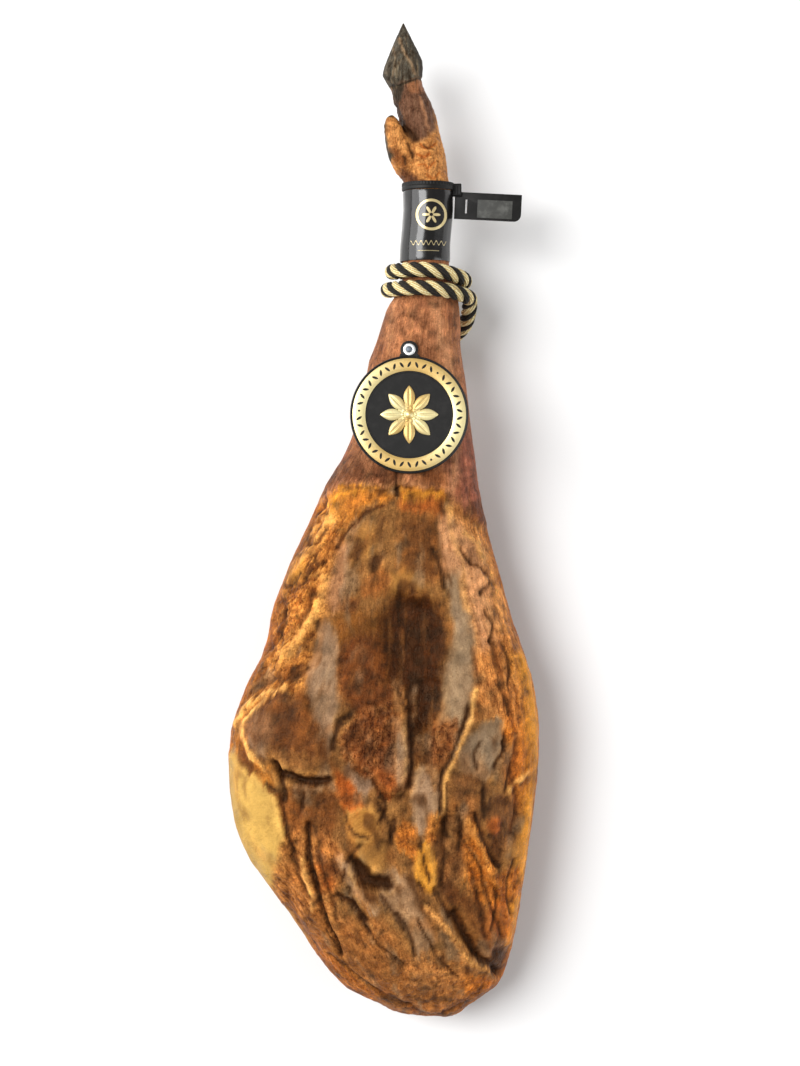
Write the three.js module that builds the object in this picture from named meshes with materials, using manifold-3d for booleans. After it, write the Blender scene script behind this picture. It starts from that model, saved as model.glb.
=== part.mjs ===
// A whole bone-in cured ham, lying on its outer side with the trimmed inner face up.
// Millimetres. +Y runs from the butt to the hoof, +X to the front of the leg, +Z up, with the resting face on z = 0.
import * as THREE from "three";
import { mergeVertices } from "three/addons/utils/BufferGeometryUtils.js";
import Module from "manifold-3d";

const wasm = await Module();
wasm.setup();

// ---------------------------------------------------------------- driving dimensions
const GAP = 0.3; // air kept between two pieces that touch

// Sections of the leg across its length: y, back edge x, front edge x, underside z, top z.
// Where the underside is below 0 the leg has been pressed flat by its own weight.
const LEG_SECTIONS = [
  [-415, 34, 54, 42, 54],
  [-412, 14, 62, 33, 62],
  [-405, -4, 70, 23, 72],
  [-388, -34, 94, 11, 86],
  [-372, -50, 102, 3, 95],
  [-339, -72, 110, -4, 106],
  [-305, -95, 115, -7, 112],
  [-272, -117, 120, -8, 116],
  [-239, -127, 124, -8, 118],
  [-206, -130, 128, -8, 118],
  [-173, -129, 129, -8, 118],
  [-139, -117, 125, -8, 117],
  [-106, -101, 115, -7, 116],
  [-73, -94, 104, -5, 114.5],
  [-40, -82, 95, -2, 113],
  [-7, -67, 86, 4, 111.5],
  [27, -52, 78.5, 12, 109.5],
  [60, -32, 74, 20, 107.5],
  [93, -21, 70, 27, 105.5],
  [126, -15, 66, 33, 103.5],
  [143, -11, 63, 37, 102.5],
  [151, -6, 62.5, 39, 102],
  [168, -2, 63, 43, 101],
  [179, 2.5, 61.5, 46, 100],
  [190, 10, 60, 49, 98],
  [202, 14.5, 55.5, 51.5, 96],
  [217, 13.8, 52.4, 52.5, 95.5],
  [234, 14.6, 53, 52.5, 95.5],
  [251, 16.2, 54.6, 52.5, 95.5],
  [267, 16.8, 55.4, 52.5, 95.5],
  [276, 16, 55, 53, 95],
  [284, 15, 52.5, 53.5, 94.5],
  [300, 17, 51, 53, 95],
  [317, 15, 47, 53, 94],
  [333, 11, 43, 53.5, 93],
  [347, 7.5, 39, 54.5, 91.5],
  [357, 5.5, 33.5, 56, 90],
  [365, 6, 30, 58, 88],
];
// Swellings and hollows of the trimmed face: centre x, y, reach x, y, height.
const FACE_RELIEF = [
  [14, -108, 36, 78, -9],
  [-72, -176, 44, 36, 5],
  [-40, -245, 40, 26, -6],
  [16, -200, 22, 34, 4],
  [22, -262, 26, 38, -6],
  [92, -205, 26, 90, 4],
  [62, -318, 24, 52, -5],
  [22, -352, 48, 30, 5],
  [-66, -52, 26, 60, 3],
];
const RING_POINTS = 48;
const FACE_FLATNESS = 2.4; // superellipse exponent of the trimmed face over the thick body
const UNDER_FLATNESS = 2.15; // of the thick body's underside
const ROUND = 2.05; // and of the shank and foot
const BODY_END = 60; // y where the body has turned into the shank

// The two toes side by side (in z), each in its pointed horn capsule: y, back edge x, front edge x, outer half depth.
const HOOF_SECTIONS = [
  [352, 9, 31, 12],
  [360, 4, 31.5, 17],
  [366, 0.5, 31, 18.6],
  [371, -2.4, 31.2, 18.8],
  [377, -1, 31.6, 18],
  [383, 1.2, 31.2, 16.6],
  [391, 4.4, 27.4, 14],
  [400, 8.2, 22.8, 10.4],
  [408, 11.8, 18.8, 6.8],
  [414.6, 14.8, 15.6, 3.4],
];
const HOOF_MIDDLE_Z = 73;
const HOOF_CLEFT = 1.6;
const HOOF_RING_POINTS = 18;

// A dewclaw's centre line and half widths: x, y, distance of z from the foot's middle, half width, half depth.
const DEWCLAW = [
  [27, 285, 6, 10, 9],
  [20, 297, 9, 13, 10.5],
  [12.8, 309, 11.5, 11.6, 10.2],
  [7.6, 321, 13.5, 8.8, 8.4],
  [4.6, 330, 14.8, 6.4, 6.2],
  [3.4, 335, 15.4, 3, 3],
];
const DEWCLAW_RING_POINTS = 14;

// Printed film sleeve round the ankle, and the moulded seal above it.
const SLEEVE = { from: 215.5, to: 274, thickness: 0.7, clearance: 0.8 };
const STRAP = { from: 274.6, to: 281, thickness: 1.4, clearance: 0.8 };
const LOCK = { x: [56.4, 66], y: [269.5, 281], z: [71.5, 80.5] };
const FLAG = { length: 55.5, height: 22.5, thickness: 1.3, corner: 6, x: 58.2, y: 274, z: 76, tilt: -2.8 };

// Twisted hanging rope: two turns round the shank, its two ends tied together behind.
const ROPE_DIAMETER = 13;
const ROPE_SIDES = 10;
const ROPE_TURNS = 2;
const ROPE_TURN_POINTS = 14;
// Centre line of a turn where the turns begin and where they end: x, z, half width, half depth.
const ROPE_START = { x: 35, z: 74, halfX: 28.2, halfZ: 29.2, y: 210.5 };
const ROPE_END = { x: 35.4, z: 73.4, halfX: 34.7, halfZ: 33.8, y: 185 };
const ROPE_RISE = 3; // how much nearer to the hoof the turns lie on top of the shank
const ROPE_FROM_KNOT = [
  [38, 160, 11],
  [41, 171, 9.5],
  [44, 184, 12],
  [43, 199, 17.5],
  [40, 213, 27],
  [34, 219, 38],
];
const ROPE_TO_KNOT = [
  [70, 176, 61],
  [66.5, 165.5, 44],
  [58, 157, 26],
];
const KNOT = { x: 40, y: 149, z: 17.5, halfX: 20, halfY: 18, halfZ: 17 };

// Round medallion pinned to the shank by a tab.
const MEDAL = { x: 20, y: 87.6, z: 107.6, slope: -3.6, radius: 48.5, thickness: 3.4 };
const MEDAL_RING = { inner: 36, outer: 46.4, thickness: 0.9 };
const MEDAL_SEAT = 2.4; // height of the seat that the ring lies in
const MEDAL_FIELD = 2.7; // height of the black field inside the ring
const TAB = { y: 53.6, radius: 7.3, thickness: 2.6, hole: 3.2 };
const EYELET = { flange: 5, barrel: 2.8, bore: 1.7, rim: 0.8 };
const PIN = { head: 2.5, shaft: 1.2, length: 20 };
const ROSETTE = { petals: 8, radius: 24, waist: 9.5, thickness: 0.9 };

// ---------------------------------------------------------------- helpers
const radians = THREE.MathUtils.degToRad;
const clamp = THREE.MathUtils.clamp;

// A smooth function of the first column that gives the other columns.
function smoothTable(rows) {
  const columns = rows[0].length - 1;
  const at = rows.map((row) => row[0]);
  const values = rows.flatMap((row) => row.slice(1));
  const curve = new THREE.CubicInterpolant(at, values, columns, new Float64Array(columns));
  return (position) => [...curve.evaluate(clamp(position, at[0], at[at.length - 1]))];
}

// A closed skin over rings of the same number of points, with a point closing each end.
function skin(rings) {
  const count = rings[0].length;
  const positions = rings.flat().flatMap((p) => [p.x, p.y, p.z]);
  const faces = [];
  for (let ring = 0; ring + 1 < rings.length; ring++)
    for (let j = 0; j < count; j++) {
      const a = ring * count + j;
      const b = ring * count + ((j + 1) % count);
      faces.push(a, a + count, b + count, a, b + count, b);
    }
  const middleOf = (ring) => ring.reduce((sum, p) => sum.add(p), new THREE.Vector3()).divideScalar(count);
  for (const [ring, start, turned] of [
    [rings[0], 0, false],
    [rings[rings.length - 1], (rings.length - 1) * count, true],
  ]) {
    const middle = positions.length / 3;
    positions.push(...middleOf(ring).toArray());
    for (let j = 0; j < count; j++) {
      const edge = [start + j, start + ((j + 1) % count)];
      if (turned) edge.reverse();
      faces.push(middle, ...edge);
    }
  }
  const geometry = new THREE.BufferGeometry();
  geometry.setAttribute("position", new THREE.Float32BufferAttribute(positions, 3));
  geometry.setIndex(faces);
  return geometry;
}

// three.js geometry to a manifold-3d solid and back.
function solid(geometry) {
  const bare = new THREE.BufferGeometry();
  bare.setAttribute("position", geometry.getAttribute("position"));
  bare.setIndex(geometry.getIndex());
  const merged = mergeVertices(bare, 1e-4);
  return new wasm.Manifold(
    new wasm.Mesh({
      numProp: 3,
      vertProperties: new Float32Array(merged.attributes.position.array),
      triVerts: new Uint32Array(merged.index.array),
    }),
  );
}

function geometryOf(manifold) {
  const mesh = manifold.getMesh();
  const geometry = new THREE.BufferGeometry();
  geometry.setAttribute("position", new THREE.BufferAttribute(mesh.vertProperties, 3));
  geometry.setIndex(new THREE.BufferAttribute(mesh.triVerts, 1));
  return geometry;
}

const join = (...geometries) => geometryOf(geometries.map(solid).reduce((a, b) => a.add(b)));
const cut = (geometry, tool) => geometryOf(solid(geometry).subtract(solid(tool)));

// A sign-keeping power, for superellipses.
const power = (value, exponent) => Math.sign(value) * Math.abs(value) ** exponent;

function steps(from, to, gap) {
  const count = Math.round((to - from) / gap);
  return Array.from({ length: count }, (_, i) => from + ((to - from) * i) / count);
}

// ---------------------------------------------------------------- the leg
const legAt = smoothTable(LEG_SECTIONS);

function reliefAt(x, y) {
  return FACE_RELIEF.reduce((sum, [cx, cy, reachX, reachY, height]) => {
    const far = ((x - cx) / reachX) ** 2 + ((y - cy) / reachY) ** 2;
    return sum + height * Math.exp(-far);
  }, 0);
}

// The outline of the leg's section at y, grown outwards by an offset.
function legRing(y, offset = 0) {
  const [back, front, under, top] = legAt(y);
  const body = 1 - THREE.MathUtils.smoothstep(y, -40, BODY_END);
  const widest = THREE.MathUtils.lerp((under + top) / 2, under + 0.56 * (top - under), body);
  const upper = 2 / THREE.MathUtils.lerp(ROUND, FACE_FLATNESS, body);
  const lower = 2 / THREE.MathUtils.lerp(ROUND, UNDER_FLATNESS, body);
  const ring = [];
  for (let j = 0; j < RING_POINTS; j++) {
    const angle = (2 * Math.PI * j) / RING_POINTS;
    const above = Math.sin(angle) > 0;
    const exponent = above ? upper : lower;
    const halfZ = above ? top - widest : widest - under;
    const x = (back + front) / 2 + ((front - back) / 2 + offset) * power(Math.cos(angle), exponent);
    let z = widest + (halfZ + offset) * power(Math.sin(angle), exponent);
    if (above) z += body * reliefAt(x, y) * Math.sin(angle) ** 0.7;
    ring.push(new THREE.Vector3(x, y, Math.max(z, 0)));
  }
  return ring;
}

function legSkin() {
  const end = LEG_SECTIONS[LEG_SECTIONS.length - 1][0];
  const places = [
    ...steps(-415, -405, 2.5),
    ...steps(-405, -372, 8),
    ...steps(-372, 24, 15),
    ...steps(24, 176, 14),
    ...steps(176, 208, 5),
    ...steps(208, 276, 17),
    ...steps(276, end, 8),
    end,
  ];
  return skin(places.map((y) => legRing(y)));
}

// One toe's capsule, rounded outside and flat at the cleft. side is 1 for the upper toe and -1 for the lower.
function toe(side) {
  const rings = HOOF_SECTIONS.map(([y, back, front, halfDepth]) => {
    const ring = [];
    for (let j = 0; j < HOOF_RING_POINTS; j++) {
      const angle = (2 * Math.PI * j) / HOOF_RING_POINTS;
      const x = (back + front) / 2 + ((front - back) / 2) * power(Math.cos(angle), 0.86);
      const depth = Math.max(halfDepth * power(Math.sin(angle), 0.86), HOOF_CLEFT / 2);
      ring.push(new THREE.Vector3(x, y, HOOF_MIDDLE_Z + depth));
    }
    return ring;
  });
  const capsule = skin(rings);
  return side > 0 ? capsule : mirroredInZ(capsule, HOOF_MIDDLE_Z);
}

// The same skin on the other side of a horizontal plane, with its faces turned to point out again.
function mirroredInZ(geometry, height) {
  const copy = geometry.clone();
  copy.scale(1, 1, -1);
  copy.translate(0, 0, 2 * height);
  const index = copy.getIndex().array;
  for (let i = 0; i < index.length; i += 3) [index[i + 1], index[i + 2]] = [index[i + 2], index[i + 1]];
  return copy;
}

function dewclaw(side) {
  const rings = DEWCLAW.map(([x, y, apart, halfWidth, halfDepth]) => {
    const ring = [];
    for (let j = 0; j < DEWCLAW_RING_POINTS; j++) {
      const angle = (2 * Math.PI * j) / DEWCLAW_RING_POINTS;
      const across = halfWidth * Math.cos(angle);
      ring.push(
        new THREE.Vector3(x + 0.86 * across, y + 0.5 * across, HOOF_MIDDLE_Z + apart + halfDepth * Math.sin(angle)),
      );
    }
    return ring;
  });
  const claw = skin(rings);
  return side > 0 ? claw : mirroredInZ(claw, HOOF_MIDDLE_Z);
}

function hamGeometry() {
  const leg = join(legSkin(), toe(1), toe(-1), dewclaw(1), dewclaw(-1));
  const hole = new THREE.CylinderGeometry(PIN.shaft + GAP, PIN.shaft + GAP, PIN.length + 4, 12);
  hole.rotateX(Math.PI / 2);
  hole.translate(0, TAB.y, 2 - PIN.length / 2);
  hole.applyMatrix4(medalPlace());
  return cut(leg, hole);
}

// ---------------------------------------------------------------- sleeve and seal
// A band round the leg between two places along it.
function band({ from, to, thickness, clearance }, gap) {
  const places = [...steps(from, to, gap), to];
  const wall = (offset) => skin(places.map((y) => legRing(y, offset)));
  const inside = (offset) => skin([from - 1, ...places.slice(1, -1), to + 1].map((y) => legRing(y, offset)));
  return cut(wall(clearance + thickness), inside(clearance));
}

function flagShape() {
  const { length, height, corner } = FLAG;
  const shape = new THREE.Shape();
  shape.moveTo(0, 0);
  shape.lineTo(0, -height);
  shape.lineTo(length - corner, -height);
  shape.absarc(length - corner, corner - height, corner, -Math.PI / 2, 0, false);
  shape.lineTo(length, 0);
  shape.closePath();
  return shape;
}

function sealGeometry() {
  const size = [LOCK.x, LOCK.y, LOCK.z].map(([low, high]) => high - low);
  const middle = [LOCK.x, LOCK.y, LOCK.z].map(([low, high]) => (low + high) / 2);
  const lock = new THREE.BoxGeometry(...size).translate(...middle);
  const flag = new THREE.ExtrudeGeometry(flagShape(), { depth: FLAG.thickness, bevelEnabled: false, curveSegments: 8 });
  flag.rotateZ(radians(FLAG.tilt));
  flag.translate(FLAG.x, FLAG.y, FLAG.z - FLAG.thickness / 2);
  const lowest = FLAG.y - FLAG.height - FLAG.corner;
  const ankle = steps(lowest, LOCK.y[1] + 4, 8).map((y) => legRing(y, SLEEVE.clearance + SLEEVE.thickness + GAP));
  const clear = skin(ankle);
  const arm = cut(join(lock, flag), clear);
  return join(band(STRAP, 3.2), arm);
}

// ---------------------------------------------------------------- rope
function ropeRoute() {
  const turns = [];
  const count = ROPE_TURNS * ROPE_TURN_POINTS;
  for (let i = 0; i <= count; i++) {
    const share = i / count;
    // from behind, up the back edge, over the face to the front edge, and round again
    const angle = radians(-112) - 2 * Math.PI * ROPE_TURNS * share + radians(112) * share;
    const part = (key) => THREE.MathUtils.lerp(ROPE_START[key], ROPE_END[key], share);
    turns.push(
      new THREE.Vector3(
        part("x") + part("halfX") * Math.cos(angle),
        part("y") + ROPE_RISE * Math.max(Math.sin(angle), 0) ** 2,
        part("z") + part("halfZ") * Math.sin(angle),
      ),
    );
  }
  const ends = (points) => points.map((p) => new THREE.Vector3(...p));
  return new THREE.CatmullRomCurve3([...ends(ROPE_FROM_KNOT), ...turns, ...ends(ROPE_TO_KNOT)]);
}

function ropeGeometry(diameter = ROPE_DIAMETER) {
  const section = new THREE.Shape();
  for (let j = 0; j < ROPE_SIDES; j++) {
    const angle = (2 * Math.PI * j) / ROPE_SIDES;
    const corner = [(diameter / 2) * Math.cos(angle), (diameter / 2) * Math.sin(angle)];
    if (j === 0) section.moveTo(...corner);
    else section.lineTo(...corner);
  }
  section.closePath();
  return new THREE.ExtrudeGeometry(section, { steps: 78, extrudePath: ropeRoute() });
}

function knotGeometry() {
  const knot = new THREE.SphereGeometry(1, 20, 14);
  knot.scale(KNOT.halfX, KNOT.halfY, KNOT.halfZ);
  knot.translate(KNOT.x, KNOT.y, KNOT.z);
  const clear = new THREE.SphereGeometry(ROPE_DIAMETER / 2 + GAP, 16, 12);
  const ends = [ROPE_FROM_KNOT[0], ROPE_TO_KNOT[ROPE_TO_KNOT.length - 1]];
  const sockets = ends.map((end) => clear.clone().translate(...end));
  return [...sockets, ropeGeometry(ROPE_DIAMETER + 2 * GAP)].reduce(cut, knot);
}

// ---------------------------------------------------------------- medallion
function medalPlace() {
  const slope = new THREE.Matrix4().makeRotationX(radians(MEDAL.slope));
  return new THREE.Matrix4().makeTranslation(MEDAL.x, MEDAL.y, MEDAL.z).multiply(slope);
}

// A turned shape about z from its half outline: points of radius and height.
function turned(outline, segments) {
  const lathe = new THREE.LatheGeometry(outline.map((p) => new THREE.Vector2(...p)), segments);
  return lathe.rotateX(Math.PI / 2);
}

function discGeometry() {
  const { radius, thickness } = MEDAL;
  const rim = MEDAL_RING.outer + GAP;
  const disc = turned(
    [
      [0, 0],
      [radius - 0.5, 0],
      [radius, 0.5],
      [radius, thickness - 0.5],
      [radius - 0.5, thickness],
      [rim, thickness],
      [rim, MEDAL_SEAT],
      [MEDAL_RING.inner - GAP, MEDAL_SEAT],
      [MEDAL_RING.inner - GAP, MEDAL_FIELD],
      [0, MEDAL_FIELD],
    ],
    72,
  );
  const tab = new THREE.Shape();
  tab.absarc(0, TAB.y, TAB.radius, -0.15 * Math.PI, 1.15 * Math.PI, false);
  tab.lineTo(-TAB.radius - 4, TAB.y - 8);
  tab.lineTo(TAB.radius + 4, TAB.y - 8);
  tab.closePath();
  const hole = new THREE.Path();
  hole.absarc(0, TAB.y, TAB.hole, 0, 2 * Math.PI, true);
  tab.holes.push(hole);
  const ear = new THREE.ExtrudeGeometry(tab, { depth: TAB.thickness, bevelEnabled: false, curveSegments: 14 });
  const seat = turned([[0, MEDAL_SEAT], [rim, MEDAL_SEAT], [rim, 9], [0, 9]], 72);
  return join(disc, cut(ear, seat));
}

function ringGeometry() {
  const low = MEDAL_SEAT + GAP;
  const { inner, outer, thickness } = MEDAL_RING;
  return turned([[inner, low], [outer, low], [outer, low + thickness], [inner, low + thickness], [inner, low]], 72);
}

function rosetteGeometry() {
  const { petals, radius, waist, thickness } = ROSETTE;
  const shape = new THREE.Shape();
  for (let i = 0; i < petals; i++) {
    const at = (turn, r) => {
      const angle = (2 * Math.PI * (i + turn)) / petals;
      return [r * Math.sin(angle), r * Math.cos(angle)];
    };
    if (i === 0) shape.moveTo(...at(-0.5, waist));
    shape.quadraticCurveTo(...at(-0.42, radius * 0.72), ...at(0, radius));
    shape.quadraticCurveTo(...at(0.42, radius * 0.72), ...at(0.5, waist));
  }
  const rosette = new THREE.ExtrudeGeometry(shape, { depth: thickness, bevelEnabled: false, curveSegments: 6 });
  return rosette.translate(0, 0, MEDAL_FIELD + GAP);
}

function eyeletGeometry() {
  const { flange, barrel, bore, rim } = EYELET;
  const top = TAB.thickness + GAP;
  const outline = [[bore, 0.2], [barrel, 0.2], [barrel, top], [flange, top], [flange - 0.4, top + rim]];
  return turned([...outline, [bore, top + rim], [bore, 0.2]], 32).translate(0, TAB.y, 0);
}

function pinGeometry() {
  const { head, shaft, length } = PIN;
  const seat = TAB.thickness + EYELET.rim + 2 * GAP;
  const dome = Array.from({ length: 6 }, (_, i) => {
    const angle = (i * Math.PI) / 10;
    return [head * Math.cos(angle), seat + 0.3 + 1.1 * Math.sin(angle)];
  });
  const outline = [[0, seat - length], [shaft, seat - length + 3], [shaft, seat], [head, seat], ...dome.slice(0, 5)];
  return turned([...outline, [0, seat + 1.4]], 20).translate(0, TAB.y, 0);
}

// ---------------------------------------------------------------- the assembly
function material(color, roughness, metalness = 0) {
  return new THREE.MeshStandardMaterial({ color, roughness, metalness });
}

function piece(name, geometry, finish) {
  const mesh = new THREE.Mesh(geometry, finish);
  mesh.name = name;
  return mesh;
}

const curedMeat = material(0x9a5a26, 0.42);
const blackFilm = material(0x101012, 0.2);
const blackPlastic = material(0x18181a, 0.45);
const twistedCord = material(0xb9a468, 0.85);
const gilt = material(0xd8c07a, 0.35, 0.9);
const nickel = material(0xd9dce0, 0.25, 1);

const medal = new THREE.Group();
medal.applyMatrix4(medalPlace());
medal.add(
  piece("medallion_disc", discGeometry(), blackPlastic),
  piece("medallion_ring", ringGeometry(), gilt),
  piece("medallion_rosette", rosetteGeometry(), gilt),
  piece("medallion_eyelet", eyeletGeometry(), nickel),
  piece("medallion_pin", pinGeometry(), nickel),
);

const ham = new THREE.Group();
ham.add(
  piece("ham", hamGeometry(), curedMeat),
  piece("label_sleeve", band(SLEEVE, 15), blackFilm),
  piece("seal_tag", sealGeometry(), blackPlastic),
  piece("rope", ropeGeometry(), twistedCord),
  piece("rope_knot", knotGeometry(), twistedCord),
  medal,
);

// The frame's origin is the middle of the footprint of everything but the rope and its knot.
const footprint = new THREE.Box3();
ham.traverse((part) => {
  if (part.isMesh && !part.name.startsWith("rope")) footprint.expandByObject(part, true);
});
ham.position.set(-(footprint.min.x + footprint.max.x) / 2, -(footprint.min.y + footprint.max.y) / 2, 0);

export default ham;
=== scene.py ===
"""A whole bone-in cured ham, laid on its outer side on a pale table.

The leg with its hoof wears a film sleeve and a moulded seal round the ankle, a twisted hanging rope round the
shank, and a round pinned medallion. Metres, with +Y towards the hoof, +X to the front of the leg and +Z up.
"""

import math

import bpy
import numpy as np
from mathutils import Matrix, Vector, noise


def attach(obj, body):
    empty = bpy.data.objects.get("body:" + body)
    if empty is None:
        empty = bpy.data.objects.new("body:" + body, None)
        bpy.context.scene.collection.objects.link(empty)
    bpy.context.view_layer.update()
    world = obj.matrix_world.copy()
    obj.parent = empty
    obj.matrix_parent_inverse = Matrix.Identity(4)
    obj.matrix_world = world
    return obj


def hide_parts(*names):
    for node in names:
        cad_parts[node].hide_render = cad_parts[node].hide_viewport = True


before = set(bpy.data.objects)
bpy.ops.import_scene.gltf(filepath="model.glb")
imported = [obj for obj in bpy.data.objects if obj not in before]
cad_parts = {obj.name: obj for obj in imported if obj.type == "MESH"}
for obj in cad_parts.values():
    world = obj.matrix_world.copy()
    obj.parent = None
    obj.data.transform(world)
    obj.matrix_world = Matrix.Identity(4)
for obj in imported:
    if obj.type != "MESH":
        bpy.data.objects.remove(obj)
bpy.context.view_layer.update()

MM = 0.001

# ------------------------------------------------------------------------------------------------- camera
CAMERA_LENS = 100.0
CAMERA_SENSOR = 36.0
VIEW_HEIGHT = 0.8848  # what the picture's long side takes in at the middle of the ham's thickness
VIEW_MIDDLE = (0.0131, -0.0089, 0.075)


def place_camera():
    data = bpy.data.cameras.new("camera")
    data.lens = CAMERA_LENS
    data.sensor_width = CAMERA_SENSOR
    camera = bpy.data.objects.new("camera", data)
    bpy.context.scene.collection.objects.link(camera)
    x, y, z = VIEW_MIDDLE
    camera.location = (x, y, z + VIEW_HEIGHT * CAMERA_LENS / CAMERA_SENSOR)
    bpy.context.scene.camera = camera


place_camera()

# -------------------------------------------------------------------------------------------------- tones
# Colours as a painter would mix them, from 0 to 255, with how fibrous, how wrinkled and how glossy each is.
TONES = {
    "skin": ((170, 114, 78), 0.55, 0.3, 0.45),
    "rosy skin": ((150, 88, 70), 0.5, 0.3, 0.5),
    "dark skin": ((96, 56, 34), 0.5, 0.45, 0.5),
    "pale skin": ((202, 148, 108), 0.35, 0.2, 0.45),
    "rind": ((150, 90, 38), 0.35, 0.5, 0.4),
    "amber": ((214, 142, 64), 0.25, 1.0, 0.6),
    "bright amber": ((198, 124, 44), 0.2, 0.6, 0.7),
    "tan": ((222, 154, 86), 0.5, 0.6, 0.45),
    "orange": ((210, 124, 44), 0.6, 0.6, 0.6),
    "yellow": ((216, 146, 46), 0.2, 0.2, 0.7),
    "straw": ((192, 154, 80), 0.03, 0.03, 0.5),
    # cream is laid mostly on raised crests and rims, as painted highlight
    "cream": ((240, 182, 102), 0.2, 0.3, 0.6),
    "olive": ((142, 98, 52), 0.3, 0.4, 0.5),
    "brown": ((104, 60, 26), 0.35, 0.4, 0.6),
    "amber brown": ((116, 70, 26), 0.3, 0.25, 0.9),
    "red brown": ((108, 56, 22), 0.45, 0.4, 0.65),
    "sienna": ((140, 86, 48), 0.6, 1.0, 0.6),
    "butt": ((162, 104, 52), 0.4, 0.5, 0.5),
    "fibres": ((192, 124, 62), 0.9, 0.4, 0.5),
    "umber": ((116, 76, 42), 0.4, 0.5, 0.5),
    # near black is laid mostly in carved creases and pits, as painted shade
    "near black": ((46, 24, 10), 0.3, 0.3, 0.6),
    "hollow": ((54, 24, 3), 0.6, 0.3, 0.9),
    "taupe": ((154, 124, 96), 0.2, 0.2, 0.35),
    "grey green": ((148, 124, 96), 0.15, 0.2, 0.3),
    "lavender": ((160, 134, 114), 0.2, 0.2, 0.35),
    "cartilage": ((164, 114, 52), 0.05, 0.15, 0.7),
    "rust": ((176, 88, 30), 0.35, 0.4, 0.6),
    "horn": ((84, 82, 74), 0.9, 0.1, 0.35),
    "dark horn": ((36, 36, 32), 0.8, 0.1, 0.45),
    "pale horn": ((150, 126, 98), 0.9, 0.1, 0.3),
    "mauve": ((114, 80, 62), 0.45, 0.5, 0.4),
    "foot": ((216, 152, 86), 0.12, 0.8, 0.45),
}


def linear(colour):
    """A 0 to 255 screen colour as linear light."""
    share = np.asarray(colour, float) / 255
    return np.where(share < 0.04045, share / 12.92, ((share + 0.055) / 1.055) ** 2.4)


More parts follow.
